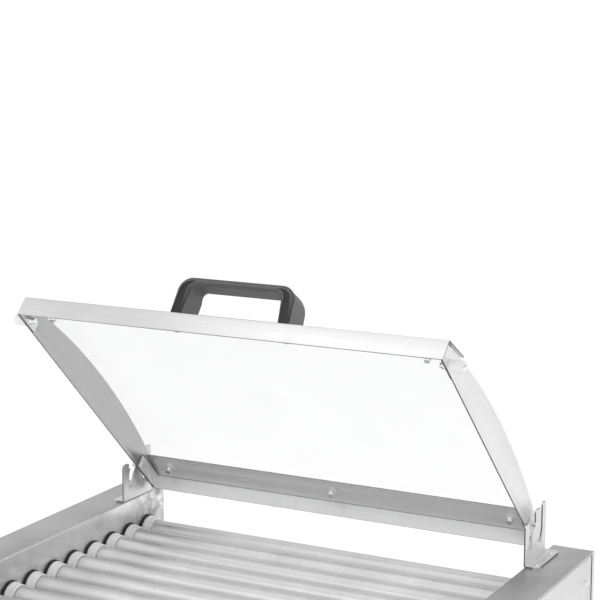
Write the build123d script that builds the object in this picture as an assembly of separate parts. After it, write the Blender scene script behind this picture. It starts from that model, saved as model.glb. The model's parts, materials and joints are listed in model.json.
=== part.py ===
from build123d import *
import os
from math import atan2, cos, degrees, pi, radians, sin, sqrt

# Counter-top roller grill with nine heated tubes and a lift-up glass lid, in millimetres.
# +X is the operator's right, +Y the back, +Z up.  The origin is on the worktop under the middle of
# the whole machine.  The lid is drawn open, on the upper latch of its hinge brackets.

# ---- driving dimensions ---------------------------------------------------------------------------
CASING_DEPTH = 410.0          # front to back of the two side casings
CASING_WIDTH = 43.8
INNER_WIDTH = 452.4           # between the casings' inner walls
TOP_Z = 195.0                 # tops of the casings above the worktop
FOOT_HEIGHT = 20.0
SHEET = 1.0                   # casing sheet
STEEL = 1.2                   # front panel, tray and lid bars
BEND_RADIUS = 0.8             # inside radius of every fold
PANEL_DEPTH = 405.0           # from the casings' backs forward to the control panel's face
TRAY_PULL_REACH = 24.0        # the tray's pull stands in front of the control panel's face
GLAND_REACH = 22.0            # the cable gland stands out behind the rear panel

ROLLERS = 9
ROLLER_PITCH = 35.0
ROLLER_RADIUS = 12.5
ROLLER_BORE = 11.3
REAR_ROLLER_BACK = 35.6       # the rear tube's axis in front of the casings' backs
ROLLER_DROP = 42.0            # the tubes' axes below the casings' tops

LID_HALF_WIDTH = 220.2        # outer faces of the lid's side arms
LID_LENGTH = 329.4            # straight lower edge of an arm and the front bar
LID_ANGLE = 44.6              # the straight edge above level while the lid is latched open
LID_CORNER = (-32.4, 5.5)     # the arm's rear corner: behind the casings' backs, above their tops
ARM_SHEET = 1.5
GLASS_RADIUS = 700.0          # the glass is bent to this radius
GLASS_CROWN = 35.0            # the glass's underside above the straight edge, at the crown
GLASS_CROWN_AT = 165.0
GLASS_THICKNESS = 3.0
BAR_FACE = 20.2               # height of the front bar's face
FLANGE_LENGTH = 38.6          # the front bar's top flange
FLANGE_SLOPE = 12.2
PIN_RADIUS = 2.0
PIN_CLEARANCE = 0.08
PIVOT_PIN = (13.1, 2.5)       # along the arm's straight edge and above it
LATCH_PIN = (39.3, 4.8)

CHAIN_PITCH = 8.0
CHAIN_ROLLER_RADIUS = 2.5
TEETH = 8
MOTOR_LINKS_BACK = 19         # chain pitches between the rear tube's sprocket and the motor's
MOTOR_LINKS_FRONT = 20

# ---- values that follow ---------------------------------------------------------------------------
REAR_Y = (PANEL_DEPTH + TRAY_PULL_REACH - GLAND_REACH) / 2
CASING_FRONT = REAR_Y - CASING_DEPTH
PANEL_FACE = REAR_Y - PANEL_DEPTH
WALL_X = INNER_WIDTH / 2
OUTER_X = WALL_X + CASING_WIDTH
BODY_BOTTOM = FOOT_HEIGHT + STEEL
ROLLER_Z = TOP_Z - ROLLER_DROP
ROLLER_Y = [REAR_Y - REAR_ROLLER_BACK - ROLLER_PITCH * (ROLLERS - n) for n in range(1, ROLLERS + 1)]

CHAIN_X = 258.0               # middle plane of the chain, inside the right-hand casing
PITCH_RADIUS = CHAIN_PITCH / (2 * sin(pi / TEETH))
CHAIN_SPAN = ROLLER_PITCH * (ROLLERS - 1)
MOTOR_BACK = MOTOR_LINKS_BACK * CHAIN_PITCH
MOTOR_FRONT = MOTOR_LINKS_FRONT * CHAIN_PITCH
MOTOR_AHEAD = (MOTOR_BACK**2 - MOTOR_FRONT**2 + CHAIN_SPAN**2) / (2 * CHAIN_SPAN)
MOTOR_Y = ROLLER_Y[-1] - MOTOR_AHEAD
MOTOR_Z = ROLLER_Z - sqrt(MOTOR_BACK**2 - MOTOR_AHEAD**2)

parts = {}


# ---- helpers --------------------------------------------------------------------------------------
def block(x0, x1, y0, y1, z0, z1):
    """A box between three pairs of limits."""
    size = Box(x1 - x0, y1 - y0, z1 - z0)
    return Pos((x0 + x1) / 2, (y0 + y1) / 2, (z0 + z1) / 2) * size


def rod_x(radius, x0, x1, y, z):
    """A cylinder along X."""
    return Pos((x0 + x1) / 2, y, z) * Rot(0, 90, 0) * Cylinder(radius, x1 - x0)


def rod_y(radius, y0, y1, x, z):
    """A cylinder along Y."""
    return Pos(x, (y0 + y1) / 2, z) * Rot(90, 0, 0) * Cylinder(radius, y1 - y0)


def rod_z(radius, z0, z1, x, y):
    """A cylinder along Z."""
    return Pos(x, y, (z0 + z1) / 2) * Cylinder(radius, z1 - z0)


def across(profile, x0, x1):
    """A profile drawn in Y and Z, carried along X from x0 to x1."""
    return extrude(Plane.YZ.offset(x0) * profile, x1 - x0)


def polygon(points):
    return make_face(Polyline(*points, close=True))


def folded(points, thickness):
    """The section of a folded sheet with rounded bends.  The points are one face of the sheet and
    its thickness goes to their left."""
    offset_points = []
    bends = []
    last = len(points) - 1
    for i, (u, v) in enumerate(points):
        turns = []
        for a, b in ((i - 1, i), (i, i + 1)):
            if a >= 0 and b <= last:
                turns.append(atan2(points[b][1] - points[a][1], points[b][0] - points[a][0]))
        middle = atan2(sum(sin(t) for t in turns), sum(cos(t) for t in turns))
        reach = thickness / cos(middle - turns[0])
        across_sheet = (u - reach * sin(middle), v + reach * cos(middle))
        offset_points.append(across_sheet)
        if len(turns) == 2:
            to_left = sin(turns[1] - turns[0]) > 0
            bends.append(((u, v), across_sheet) if to_left else (across_sheet, (u, v)))
    section = polygon(list(points) + offset_points[::-1])
    for outer, inner in bends:
        for corner, radius in ((outer, BEND_RADIUS + thickness), (inner, BEND_RADIUS)):
            vertex = section.vertices().sort_by_distance(Vector(*corner))[0]
            section = fillet(vertex, radius)
    return section


def both_sides(shape):
    """A shape on the right and its mirror image on the left, as one group."""
    return Compound(children=[*shape.solids(), *mirror(shape, about=Plane.YZ).solids()])


def group(shapes):
    solids = []
    for shape in shapes:
        solids.extend(shape.solids())
    return Compound(children=solids)


def left_and_right(name, shape):
    parts[name + "_right"] = shape
    parts[name + "_left"] = mirror(shape, about=Plane.YZ)


# ---- side casings ---------------------------------------------------------------------------------
RETURN_FLANGE = 8.0
COVER_GAP = 0.5
BUSH_SPIGOT_RADIUS = 14.4
SPIGOT_CLEARANCE = 0.1
VENT_SLOTS = 6
VENT_PITCH = 11.0
VENT_SIZE = (60.0, 3.5)


def rounded_box(inset, bottom, radius):
    """The casing's box drawn in by inset, with every edge rounded but the lower ones and the outer
    edge of its top."""
    box = block(WALL_X + inset, OUTER_X - inset, CASING_FRONT + inset, REAR_Y - inset, bottom, TOP_Z - inset)
    folds = box.edges().filter_by(Axis.Z) + box.edges().group_by(Axis.Z)[-1]
    folds = [e for e in folds if e.center().X < OUTER_X - 1 or e.center().Z < TOP_Z - 5]
    return fillet(folds, radius)


def casing():
    """Inner wall, top, front and back folded from one sheet, open below and at the outer side."""
    shell = rounded_box(0, BODY_BOTTOM, BEND_RADIUS + SHEET)
    shell -= rounded_box(SHEET, BODY_BOTTOM - 1, BEND_RADIUS)
    window = (CASING_FRONT + RETURN_FLANGE, REAR_Y - RETURN_FLANGE, BODY_BOTTOM - 1, TOP_Z - SHEET)
    shell -= block(OUTER_X - 2 * SHEET, OUTER_X + 1, *window)
    for y in ROLLER_Y:
        shell -= rod_x(BUSH_SPIGOT_RADIUS + SPIGOT_CLEARANCE, WALL_X - 1, WALL_X + 2, y, ROLLER_Z)
    return shell


def side_cover():
    """Outer side plate with stiffening folds and a field of cooling slots."""
    y0 = CASING_FRONT + RETURN_FLANGE + COVER_GAP
    y1 = REAR_Y - RETURN_FLANGE - COVER_GAP
    top = TOP_Z - SHEET - COVER_GAP
    plate = block(OUTER_X - SHEET, OUTER_X, y0, y1, BODY_BOTTOM, top)
    plate += block(OUTER_X - 10, OUTER_X - SHEET, y0 + 12, y1 - 12, top - SHEET, top)
    for i in range(VENT_SLOTS):
        z = 48 + VENT_PITCH * i
        for y in (-90, 90):
            slot = SlotOverall(*VENT_SIZE)
            plate -= across(Pos(y, z) * slot, OUTER_X - 2, OUTER_X + 1)
    return plate


def cover_screws():
    screws = []
    for y in (CASING_FRONT + 24, REAR_Y - 24):
        for z in (40, 170):
            head = rod_x(3.6, OUTER_X, OUTER_X + 1.6, y, z)
            head = fillet(head.edges().filter_by(GeomType.CIRCLE).sort_by(Axis.X)[-1], 0.9)
            screws.append(head)
    return both_sides(group(screws))


left_and_right("side_casing", casing())
left_and_right("side_cover", side_cover())
parts["cover_screws"] = cover_screws()

# ---- floor, back, feet ----------------------------------------------------------------------------
FLANGE_UP = 10.0


def base_pan():
    pan = block(-OUTER_X, OUTER_X, CASING_FRONT, REAR_Y, FOOT_HEIGHT, BODY_BOTTOM)
    for side in (-1, 1):
        x0, x1 = sorted((side * (OUTER_X - 1.2 - SHEET), side * (OUTER_X - SHEET - 0.2)))
        pan += block(x0, x1, CASING_FRONT + 12, REAR_Y - 12, BODY_BOTTOM, BODY_BOTTOM + FLANGE_UP)
    pan += block(-WALL_X, WALL_X, REAR_Y - 2 * STEEL, REAR_Y - STEEL, BODY_BOTTOM,
                 BODY_BOTTOM + FLANGE_UP)
    return pan


REAR_PANEL_TOP = TOP_Z - 47.0
GLAND_AT = (-170.0, 50.0)
GLAND_THREAD = 10.0


def rear_panel():
    """Low back between the casings, with a folded top edge and a row of cooling slots."""
    outline = [(REAR_Y, BODY_BOTTOM), (REAR_Y, REAR_PANEL_TOP), (REAR_Y - 12, REAR_PANEL_TOP),
               (REAR_Y - 12, REAR_PANEL_TOP - 8)]
    panel = across(folded(outline, STEEL), -WALL_X, WALL_X)
    for i in range(-4, 5):
        slot = extrude(Plane.XZ.offset(-REAR_Y - 1) * Pos(22 * i, 110) * SlotOverall(30, 4, rotation=90), 4)
        panel -= slot
    panel -= rod_y(GLAND_THREAD + 0.2, REAR_Y - 3, REAR_Y + 1, *GLAND_AT)
    return panel


def cable_gland():
    """Screwed gland: lock nut inside the panel, hexagon and domed cap outside, bored for the lead."""
    x, z = GLAND_AT
    body = rod_y(GLAND_THREAD, REAR_Y - 9, REAR_Y, x, z)
    hexagon = extrude(Plane.XZ.offset(-REAR_Y) * Pos(x, z) * RegularPolygon(13, 6), -6)
    cap = rod_y(11.5, REAR_Y + 6, REAR_Y + GLAND_REACH, x, z)
    cap = fillet(cap.edges().filter_by(GeomType.CIRCLE).sort_by(Axis.Y)[-1], 5)
    nut = extrude(Plane.XZ.offset(-(REAR_Y - STEEL - 5)) * Pos(x, z) * RegularPolygon(13, 6), -5)
    return body + hexagon + cap + nut - rod_y(4.5, REAR_Y - 12, REAR_Y + GLAND_REACH + 1, x, z)


FOOT_X = 246.0
FOOT_Y = (CASING_FRONT + 30, REAR_Y - 30)


def feet():
    feet_list = []
    for x in (-FOOT_X, FOOT_X):
        for y in FOOT_Y:
            foot = Pos(x, y, FOOT_HEIGHT / 2) * Cone(15, 18, FOOT_HEIGHT)
            foot = fillet(foot.edges().sort_by(Axis.Z)[0], 2)
            feet_list.append(foot)
    return group(feet_list)


parts["base_pan"] = base_pan()
parts["rear_panel"] = rear_panel()
parts["cable_gland"] = cable_gland()
parts["rubber_feet"] = feet()

# ---- control panel --------------------------------------------------------------------------------
PANEL_TOP = TOP_Z - 8.0
PANEL_BOTTOM = 92.0
PANEL_BOX_DEPTH = 50.0
KNOB_X = (-130.0, 130.0)
ROCKER_X = (-32.0, 32.0)
LAMP_X = (-80.0, 80.0)
CONTROL_Z = 136.0
SPINDLE_RADIUS = 3.0
ROCKER_HOLE = (13.0, 27.0)
LAMP_RADIUS = 5.0
KNOB_RADIUS = 19.0
KNOB_HEIGHT = 20.0
ROCKER_THROW = 22.0
ROCKER_PIVOT_Y = PANEL_FACE + 3.0
ROCKER_PIVOT_RADIUS = 1.5


def front_panel():
    """Control panel: bottom fold, face, sloped nose, top and a skirt in front of the first tube."""
    back = PANEL_FACE + PANEL_BOX_DEPTH
    outline = [(PANEL_FACE + 14, PANEL_BOTTOM), (PANEL_FACE, PANEL_BOTTOM), (PANEL_FACE, PANEL_TOP - 12),
               (PANEL_FACE + 7, PANEL_TOP), (back, PANEL_TOP), (back, PANEL_BOTTOM + 18)]
    panel = across(folded(outline[::-1], STEEL), -WALL_X, WALL_X)
    cut = (PANEL_FACE - 1, PANEL_FACE + 3)
    for x in KNOB_X:
        panel -= rod_y(SPINDLE_RADIUS + 2.2, *cut, x, CONTROL_Z)
    for x in LAMP_X:
        panel -= rod_y(LAMP_RADIUS, *cut, x, CONTROL_Z)
    for x in ROCKER_X:
        half, tall = ROCKER_HOLE[0] / 2, ROCKER_HOLE[1] / 2
        panel -= block(x - half, x + half, *cut, CONTROL_Z - tall, CONTROL_Z + tall)
    return panel


def thermostat(x):
    """Capillary thermostat: threaded bush through the panel, body behind it, bored for the spindle."""
    y = PANEL_FACE + STEEL
    body = block(x - 17, x + 17, y, y + 24, CONTROL_Z - 16, CONTROL_Z + 16)
    body = fillet(body.edges().filter_by(Axis.Y), 4)
    body += rod_y(SPINDLE_RADIUS + 2, PANEL_FACE - 1, y, x, CONTROL_Z)
    return body - rod_y(SPINDLE_RADIUS + 0.05, PANEL_FACE - 2, y + 12, x, CONTROL_Z)


def knob(x):
    """Moulded knob with a skirt, a tapered grip and a pointer rib, on its thermostat's spindle."""
    y = PANEL_FACE - 1.5
    skirt = rod_y(KNOB_RADIUS, y - 4, y, x, CONTROL_Z)
    grip = Pos(x, y - 4 - (KNOB_HEIGHT - 4) / 2, CONTROL_Z) * Rot(90, 0, 0) * Cone(14.5, 12.5, KNOB_HEIGHT - 4)
    grip = fillet(grip.edges().filter_by(GeomType.CIRCLE).sort_by(Axis.Y)[0], 2)
    flutes = []
    for i in range(12):
        if i != 3:
            a = 2 * pi * i / 12
            flutes.append(rod_y(2.0, y - KNOB_HEIGHT - 1, y - 6, x + 15.2 * cos(a), CONTROL_Z + 15.2 * sin(a)))
    body = skirt + grip
    for flute in flutes:
        body -= flute
    body += block(x - 1.2, x + 1.2, y - KNOB_HEIGHT - 0.8, y - KNOB_HEIGHT + 1, CONTROL_Z + 2, CONTROL_Z + 12)
    return body + rod_y(SPINDLE_RADIUS, y, PANEL_FACE + 12, x, CONTROL_Z)


def switch_housing(x):
    """Rocker switch body: bezel on the panel's face and a case behind, hollow round the rocker."""
    half, tall = ROCKER_HOLE[0] / 2 - 0.2, ROCKER_HOLE[1] / 2 - 0.2
    case = block(x - half, x + half, PANEL_FACE, PANEL_FACE + 22, CONTROL_Z - tall, CONTROL_Z + tall)
    bezel = block(x - half - 1.8, x + half + 1.8, PANEL_FACE - 2, PANEL_FACE,
                  CONTROL_Z - tall - 1.8, CONTROL_Z + tall + 1.8)
    bezel = fillet(bezel.edges().filter_by(Axis.Y), 1.5)
    hollow = block(x - half + 1.2, x + half - 1.2, PANEL_FACE - 3, PANEL_FACE + 12,
                   CONTROL_Z - tall + 1.2, CONTROL_Z + tall - 1.2)
    pivot = rod_x(ROCKER_PIVOT_RADIUS + 0.05, x - half - 1, x + half + 1, ROCKER_PIVOT_Y, CONTROL_Z)
    return case + bezel - hollow - pivot


def rocker(x):
    """Rocker: a drum about its pivot with a shallow vee across its face, tilted to its off side."""
    half = ROCKER_HOLE[0] / 2 - 1.8
    profile = polygon([(-6.2, -9.5), (-3.6, 0), (-6.2, 9.5), (-1.0, 10.6), (5.0, 7.0), (5.0, -7.0),
                       (-1.0, -10.6)])
    turned = Pos(ROCKER_PIVOT_Y, CONTROL_Z) * Rot(0, 0, ROCKER_THROW / 2) * profile
    pivot = rod_x(ROCKER_PIVOT_RADIUS, x - half - 1.2, x + half + 1.2, ROCKER_PIVOT_Y, CONTROL_Z)
    return across(turned, x - half, x + half) + pivot


def lamp(x):
    lens = rod_y(LAMP_RADIUS + 1.6, PANEL_FACE - 3, PANEL_FACE, x, CONTROL_Z)
    lens = fillet(lens.edges().filter_by(GeomType.CIRCLE).sort_by(Axis.Y)[0], 1.8)
    return lens + rod_y(LAMP_RADIUS, PANEL_FACE, PANEL_FACE + 16, x, CONTROL_Z)


parts["front_panel"] = front_panel()
parts["thermostats"] = group([thermostat(x) for x in KNOB_X])
parts["switch_housings"] = group([switch_housing(x) for x in ROCKER_X])
parts["pilot_lamps"] = group([lamp(x) for x in LAMP_X])
for side, x in zip(("left", "right"), KNOB_X):
    parts["knob_" + side] = knob(x)
for side, x in zip(("left", "right"), ROCKER_X):
    parts["rocker_" + side] = rocker(x)

# ---- drip tray ------------------------------------------------------------------------------------
RUNNER_Z = 44.0
TRAY_WALL = 1.0
TRAY_DEPTH = 22.0
TRAY_HALF = WALL_X - 4.0
TRAY_BACK = REAR_Y - 16.0
TRAY_GAP = 0.3
TRAY_FLOOR = RUNNER_Z + STEEL + TRAY_GAP


def tray_runners():
    """Angle rails on the inner walls, which the tray slides on."""
    x1 = WALL_X
    outline = [(x1, RUNNER_Z - 14), (x1, RUNNER_Z + STEEL), (x1 - 14, RUNNER_Z + STEEL)]
    section = folded(outline, STEEL)
    rail = extrude(Plane.XZ.offset(-(REAR_Y - 6)) * section, REAR_Y - 6 - (PANEL_FACE + 10))
    return both_sides(rail)


def drip_tray():
    """Open pan with a tall front plate that closes the slot below the control panel."""
    z1 = TRAY_FLOOR + TRAY_DEPTH
    y0 = PANEL_FACE + STEEL
    pan = block(-TRAY_HALF, TRAY_HALF, y0, TRAY_BACK, TRAY_FLOOR, z1)
    pan = fillet(pan.edges().filter_by(Axis.Z), 6)
    inner = block(-TRAY_HALF + TRAY_WALL, TRAY_HALF - TRAY_WALL, y0 + TRAY_WALL, TRAY_BACK - TRAY_WALL,
                  TRAY_FLOOR + TRAY_WALL, z1 + 1)
    inner = fillet(inner.edges().filter_by(Axis.Z), 5)
    pan -= inner
    plate = block(-WALL_X + 0.6, WALL_X - 0.6, PANEL_FACE, y0, BODY_BOTTOM + 0.6, PANEL_BOTTOM - 0.6)
    return pan + plate


def tray_pull():
    """Bow handle with round corners, on the tray's front plate."""
    z = 58.0
    reach = TRAY_PULL_REACH
    path = FilletPolyline((-55, PANEL_FACE, z), (-55, PANEL_FACE - reach + 4, z),
                          (55, PANEL_FACE - reach + 4, z), (55, PANEL_FACE, z), radius=9)
    start = Plane(origin=path @ 0, z_dir=path % 0)
    return sweep(start * Circle(4), path=path)


parts["tray_runners"] = tray_runners()
parts["drip_tray"] = drip_tray()
parts["tray_pull"] = tray_pull()

# ---- heated tubes, their bushes and rods ----------------------------------------------------------
TUBE_END = 240.0
HUB_RADIUS = 6.2
HUB_BORE = 4.6
HUB_LEFT = 246.0
HUB_RIGHT = 262.0
SPROCKET_HALF = 1.3
TIP_RADIUS = PITCH_RADIUS + 1.6
SEAT_RADIUS = CHAIN_ROLLER_RADIUS + 0.35
TIP_GAP = 4.3                 # half the width between two teeth's tips
COLLAR_RADIUS = 16.0
COLLAR_STAND = 6.0
SEAL_THICKNESS = 1.6
ROD_RADIUS = 4.0


def sprocket():
    """Toothed disc with eight roller seats, in the Y-Z plane about the X axis."""
    profile = Circle(TIP_RADIUS)
    for i in range(TEETH):
        a = 360 * i / TEETH
        gap = Pos(PITCH_RADIUS, 0) * Circle(SEAT_RADIUS)
        gap += polygon([(PITCH_RADIUS, -SEAT_RADIUS), (TIP_RADIUS, -TIP_GAP), (TIP_RADIUS + 1, -TIP_GAP),
                        (TIP_RADIUS + 1, TIP_GAP), (TIP_RADIUS, TIP_GAP), (PITCH_RADIUS, SEAT_RADIUS)])
        profile -= Rot(0, 0, a) * gap
    return across(profile, CHAIN_X - SPROCKET_HALF, CHAIN_X + SPROCKET_HALF)


def roller(y):
    """Tube closed by bored end plugs; the right-hand plug's hub carries its welded sprocket."""
    plug = 5.0
    section = polygon([(-HUB_LEFT, HUB_BORE), (-HUB_LEFT, HUB_RADIUS), (-TUBE_END, HUB_RADIUS),
                       (-TUBE_END, ROLLER_RADIUS), (TUBE_END, ROLLER_RADIUS), (TUBE_END, HUB_RADIUS),
                       (HUB_RIGHT, HUB_RADIUS), (HUB_RIGHT, HUB_BORE), (TUBE_END - plug, HUB_BORE),
                       (TUBE_END - plug, ROLLER_BORE), (plug - TUBE_END, ROLLER_BORE),
                       (plug - TUBE_END, HUB_BORE)])
    tube = revolve(Plane.XY * section, Axis.X)
    toothed = sprocket() - rod_x(HUB_RADIUS - 0.5, CHAIN_X - 9, CHAIN_X + 9, 0, 0)
    return Pos(0, y, ROLLER_Z) * (tube + toothed)


def bush(y):
    """Flanged bearing bush: a collar in the bed, a spigot through the casing's inner wall."""
    section = polygon([(WALL_X - COLLAR_STAND, 12.55), (WALL_X - COLLAR_STAND, COLLAR_RADIUS - 0.8),
                       (WALL_X - COLLAR_STAND + 0.8, COLLAR_RADIUS),
                       (WALL_X - SEAL_THICKNESS, COLLAR_RADIUS), (WALL_X - SEAL_THICKNESS, BUSH_SPIGOT_RADIUS),
                       (WALL_X + 6, BUSH_SPIGOT_RADIUS), (WALL_X + 6, 12.55)])
    return Pos(0, y, ROLLER_Z) * revolve(Plane.XY * section, Axis.X)


def seal(y):
    ring = rod_x(COLLAR_RADIUS + 0.9, WALL_X - SEAL_THICKNESS, WALL_X, y, ROLLER_Z)
    return ring - rod_x(BUSH_SPIGOT_RADIUS + 0.05, WALL_X - 3, WALL_X + 1, y, ROLLER_Z)


def heating_rod(y):
    """Straight element down the middle of a tube, with a ceramic end at each side."""
    rod = rod_x(ROD_RADIUS, -268, 268, y, ROLLER_Z)
    return rod


def rod_bracket():
    """Folded strip above the chain that holds the rods' right-hand ends."""
    x = CHAIN_X + 7
    outline = [(WALL_X + SHEET, 184), (x, 184), (x, 140)]
    y0, y1 = ROLLER_Y[0] - 16, ROLLER_Y[-1] + 16
    strip = extrude(Plane.XZ.offset(-y1) * folded(outline[::-1], SHEET), y1 - y0)
    for y in ROLLER_Y:
        strip -= rod_x(ROD_RADIUS + 0.05, x - 3, x + 3, y, ROLLER_Z)
    return strip


for number, y in enumerate(ROLLER_Y, start=1):
    parts[f"roller_{number}"] = roller(y)
left_and_right("bushes", group([bush(y) for y in ROLLER_Y]))
left_and_right("seal_rings", group([seal(y) for y in ROLLER_Y]))
parts["heating_rods"] = group([heating_rod(y) for y in ROLLER_Y])
left_and_right("rod_bracket", rod_bracket())

# ---- chain drive ----------------------------------------------------------------------------------
TURN_LINKS = 12               # links in the chain's full turn, so that it stands clear of the teeth
CHAIN_LINE_RADIUS = TURN_LINKS * CHAIN_PITCH / (2 * pi)
CHAIN_ROLLER_HALF = 1.6
INNER_PLATE = (1.6, 2.6)
OUTER_PLATE = (2.7, 3.7)
PLATE_HALF_HEIGHT = 3.0
PLATE_NOSE = 2.9
CHAIN_PIN_RADIUS = 1.2


def chain_stations():
    """Roller centres, one pitch apart, along the chain's line round the three outer sprockets."""
    rear = (ROLLER_Y[-1], ROLLER_Z)
    front = (ROLLER_Y[0], ROLLER_Z)
    motor = (MOTOR_Y, MOTOR_Z)
    legs = [(rear, front), (front, motor), (motor, rear)]
    headings = [atan2(b[1] - a[1], b[0] - a[0]) for a, b in legs]
    stations = []
    travelled = 0.0
    leg_start = 0.0
    for i, (a, b) in enumerate(legs):
        heading = headings[i]
        length = sqrt((b[0] - a[0])**2 + (b[1] - a[1])**2)
        outward = heading - pi / 2
        turn = (headings[(i + 1) % 3] - heading) % (2 * pi)
        while travelled < leg_start + length - 0.01:
            s = travelled - leg_start
            stations.append((a[0] + CHAIN_LINE_RADIUS * cos(outward) + s * cos(heading),
                             a[1] + CHAIN_LINE_RADIUS * sin(outward) + s * sin(heading)))
            travelled += CHAIN_PITCH
        arc_start = leg_start + length
        leg_start = arc_start + turn * CHAIN_LINE_RADIUS
        while travelled < leg_start - 0.01:
            angle = outward + (travelled - arc_start) / CHAIN_LINE_RADIUS
            stations.append((b[0] + CHAIN_LINE_RADIUS * cos(angle), b[1] + CHAIN_LINE_RADIUS * sin(angle)))
            travelled += CHAIN_PITCH
    return stations


def drive_chain():
    """Endless roller chain over all nine tube sprockets and down round the motor's sprocket.  It
    is drawn standing, a little clear of the teeth."""
    stations = chain_stations()
    solids = []
    for i, (y, z) in enumerate(stations):
        y2, z2 = stations[(i + 1) % len(stations)]
        lean = degrees(atan2(z2 - z, y2 - y))
        run = sqrt((y2 - y)**2 + (z2 - z)**2)
        high = PLATE_HALF_HEIGHT
        plate = polygon([(-PLATE_NOSE, 0), (-1.2, high), (run + 1.2, high), (run + PLATE_NOSE, 0),
                         (run + 1.2, -high), (-1.2, -high)])
        plate = Pos(y, z) * Rot(0, 0, lean) * plate
        near, far = INNER_PLATE if i % 2 == 0 else OUTER_PLATE
        plates = [across(plate, CHAIN_X + near, CHAIN_X + far), across(plate, CHAIN_X - far, CHAIN_X - near)]
        if i % 2 == 1:
            solids.extend(plates)
            continue
        link = plates[0] + plates[1]
        for cy, cz in ((y, z), (y2, z2)):
            turned = Pos(cy, cz) * Rot(0, 0, lean)
            roller_and_pin = ((CHAIN_ROLLER_RADIUS, 12, CHAIN_ROLLER_HALF), (CHAIN_PIN_RADIUS, 8, OUTER_PLATE[0]))
            for radius, sides, half in roller_and_pin:
                prism = turned * RegularPolygon(radius, sides)
                link += across(prism, CHAIN_X - half, CHAIN_X + half)
        solids.append(link)
    return group(solids)


MOTOR_RADIUS = 27.0
MOTOR_BODY = (WALL_X + SHEET + STEEL, 250.0)
SHAFT_RADIUS = 3.5


def gear_motor():
    """Flat geared motor with its mounting plate, bored for the output shaft."""
    can = rod_x(MOTOR_RADIUS, *MOTOR_BODY, MOTOR_Y, MOTOR_Z)
    can = fillet(can.edges().filter_by(GeomType.CIRCLE).sort_by(Axis.X)[-1], 2)
    plate = across(Pos(MOTOR_Y, MOTOR_Z) * RectangleRounded(82, 40, 8), WALL_X + SHEET, MOTOR_BODY[0])
    return can + plate - rod_x(SHAFT_RADIUS + 0.05, MOTOR_BODY[0] + 6, MOTOR_BODY[1] + 1, MOTOR_Y, MOTOR_Z)


def drive_sprocket():
    disc = sprocket()
    hub = rod_x(HUB_RADIUS, CHAIN_X - 5, CHAIN_X + 3, 0, 0)
    shaft = rod_x(SHAFT_RADIUS, MOTOR_BODY[0] + 7, CHAIN_X + 4, 0, 0)
    return Pos(0, MOTOR_Y, MOTOR_Z) * (disc + hub + shaft)


def terminal_block():
    """Row of six screw terminals on the left-hand floor."""
    x0 = -OUTER_X + 12
    block_body = block(x0, x0 + 18, -40, 32, BODY_BOTTOM, BODY_BOTTOM + 16)
    for i in range(6):
        block_body -= rod_z(3, BODY_BOTTOM + 8, BODY_BOTTOM + 17, x0 + 9, -34 + 12 * i)
    return block_body


parts["drive_chain"] = drive_chain()
parts["gear_motor"] = gear_motor()
parts["drive_sprocket"] = drive_sprocket()
parts["terminal_block"] = terminal_block()

# ---- lid brackets ---------------------------------------------------------------------------------
BRACKET_SHEET = 1.5
lid_turn = radians(LID_ANGLE)


def lid_point(l, h):
    """World Y and Z of a point on the open lid, from its place along and above the arm's edge."""
    y = REAR_Y + LID_CORNER[0] - l * cos(lid_turn) + h * sin(lid_turn)
    z = TOP_Z + LID_CORNER[1] + l * sin(lid_turn) + h * cos(lid_turn)
    return y, z


PIVOT_Y, PIVOT_Z = lid_point(*PIVOT_PIN)
LATCH_Y, LATCH_Z = lid_point(*LATCH_PIN)
LATCH_SWING = sqrt((LATCH_Y - PIVOT_Y)**2 + (LATCH_Z - PIVOT_Z)**2)
BRACKET_FRONT = -80.5
BRACKET_BACK = -26.0
FOOT_BACK = -20.0
FOOT_WIDTH = 15.0
BRACKET_SCREW_Y = (BRACKET_FRONT + 9, FOOT_BACK - 12)


def bracket():
    """Slotted hinge bracket.  The pivot pin drops down the rear slot; the latch pin swings in the
    front slot, whose rear edge is cut to the pin's circle up to the shelf that holds the lid open."""
    def at(y, z):
        return REAR_Y + y, TOP_Z + z

    plate = polygon([at(BRACKET_FRONT, 0), at(BRACKET_BACK, 0), at(BRACKET_BACK, 52), at(-35, 52),
                     at(-35, 49), at(-53.3, 49), at(-53.3, 41), at(BRACKET_FRONT, 41)])
    plate -= polygon([at(-40, 60), at(-40, 26), at(-42.1, 20.5), at(-42.1, 16.4), at(-37.9, 16.4),
                      at(-37.9, 18.5), at(-35, 26), at(-35, 60)])
    plate -= Pos(PIVOT_Y, PIVOT_Z) * Circle(PIN_RADIUS + PIN_CLEARANCE)
    swing = Circle(LATCH_SWING + PIN_RADIUS + 3) - Circle(LATCH_SWING - PIN_RADIUS - 0.4)
    window = polygon([at(-69, 15.0), at(-60, 15.0), at(-53.3, 34.2), at(-53.3, 60), at(-69, 60)])
    slot = (Pos(PIVOT_Y, PIVOT_Z) * swing) & window
    slot += polygon([at(-69, 34.2), at(-53.3, 34.2), at(-53.3, 60), at(-69, 60)])
    plate -= slot
    plate = across(plate, WALL_X, WALL_X + BRACKET_SHEET)
    ups = plate.edges().filter_by(Axis.X)
    tips = [e for e in ups if e.center().Z > TOP_Z + 38]
    plate = fillet(tips, 2.2)
    foot = block(WALL_X, WALL_X + FOOT_WIDTH, REAR_Y + BRACKET_FRONT, REAR_Y + FOOT_BACK, TOP_Z,
                 TOP_Z + BRACKET_SHEET)
    outer = [e for e in foot.edges().filter_by(Axis.Z) if e.center().X > WALL_X + 2]
    foot = fillet(outer, 6)
    for y in BRACKET_SCREW_Y:
        foot -= rod_z(2.1, TOP_Z - 1, TOP_Z + 3, WALL_X + 9, REAR_Y + y)
    folded_plate = plate + foot
    along = folded_plate.edges().filter_by(Axis.Y)
    outside = [e for e in along if e.center().X < WALL_X + 0.1 and e.center().Z < TOP_Z + 0.1]
    return fillet(outside, BEND_RADIUS + 0.6)


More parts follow.
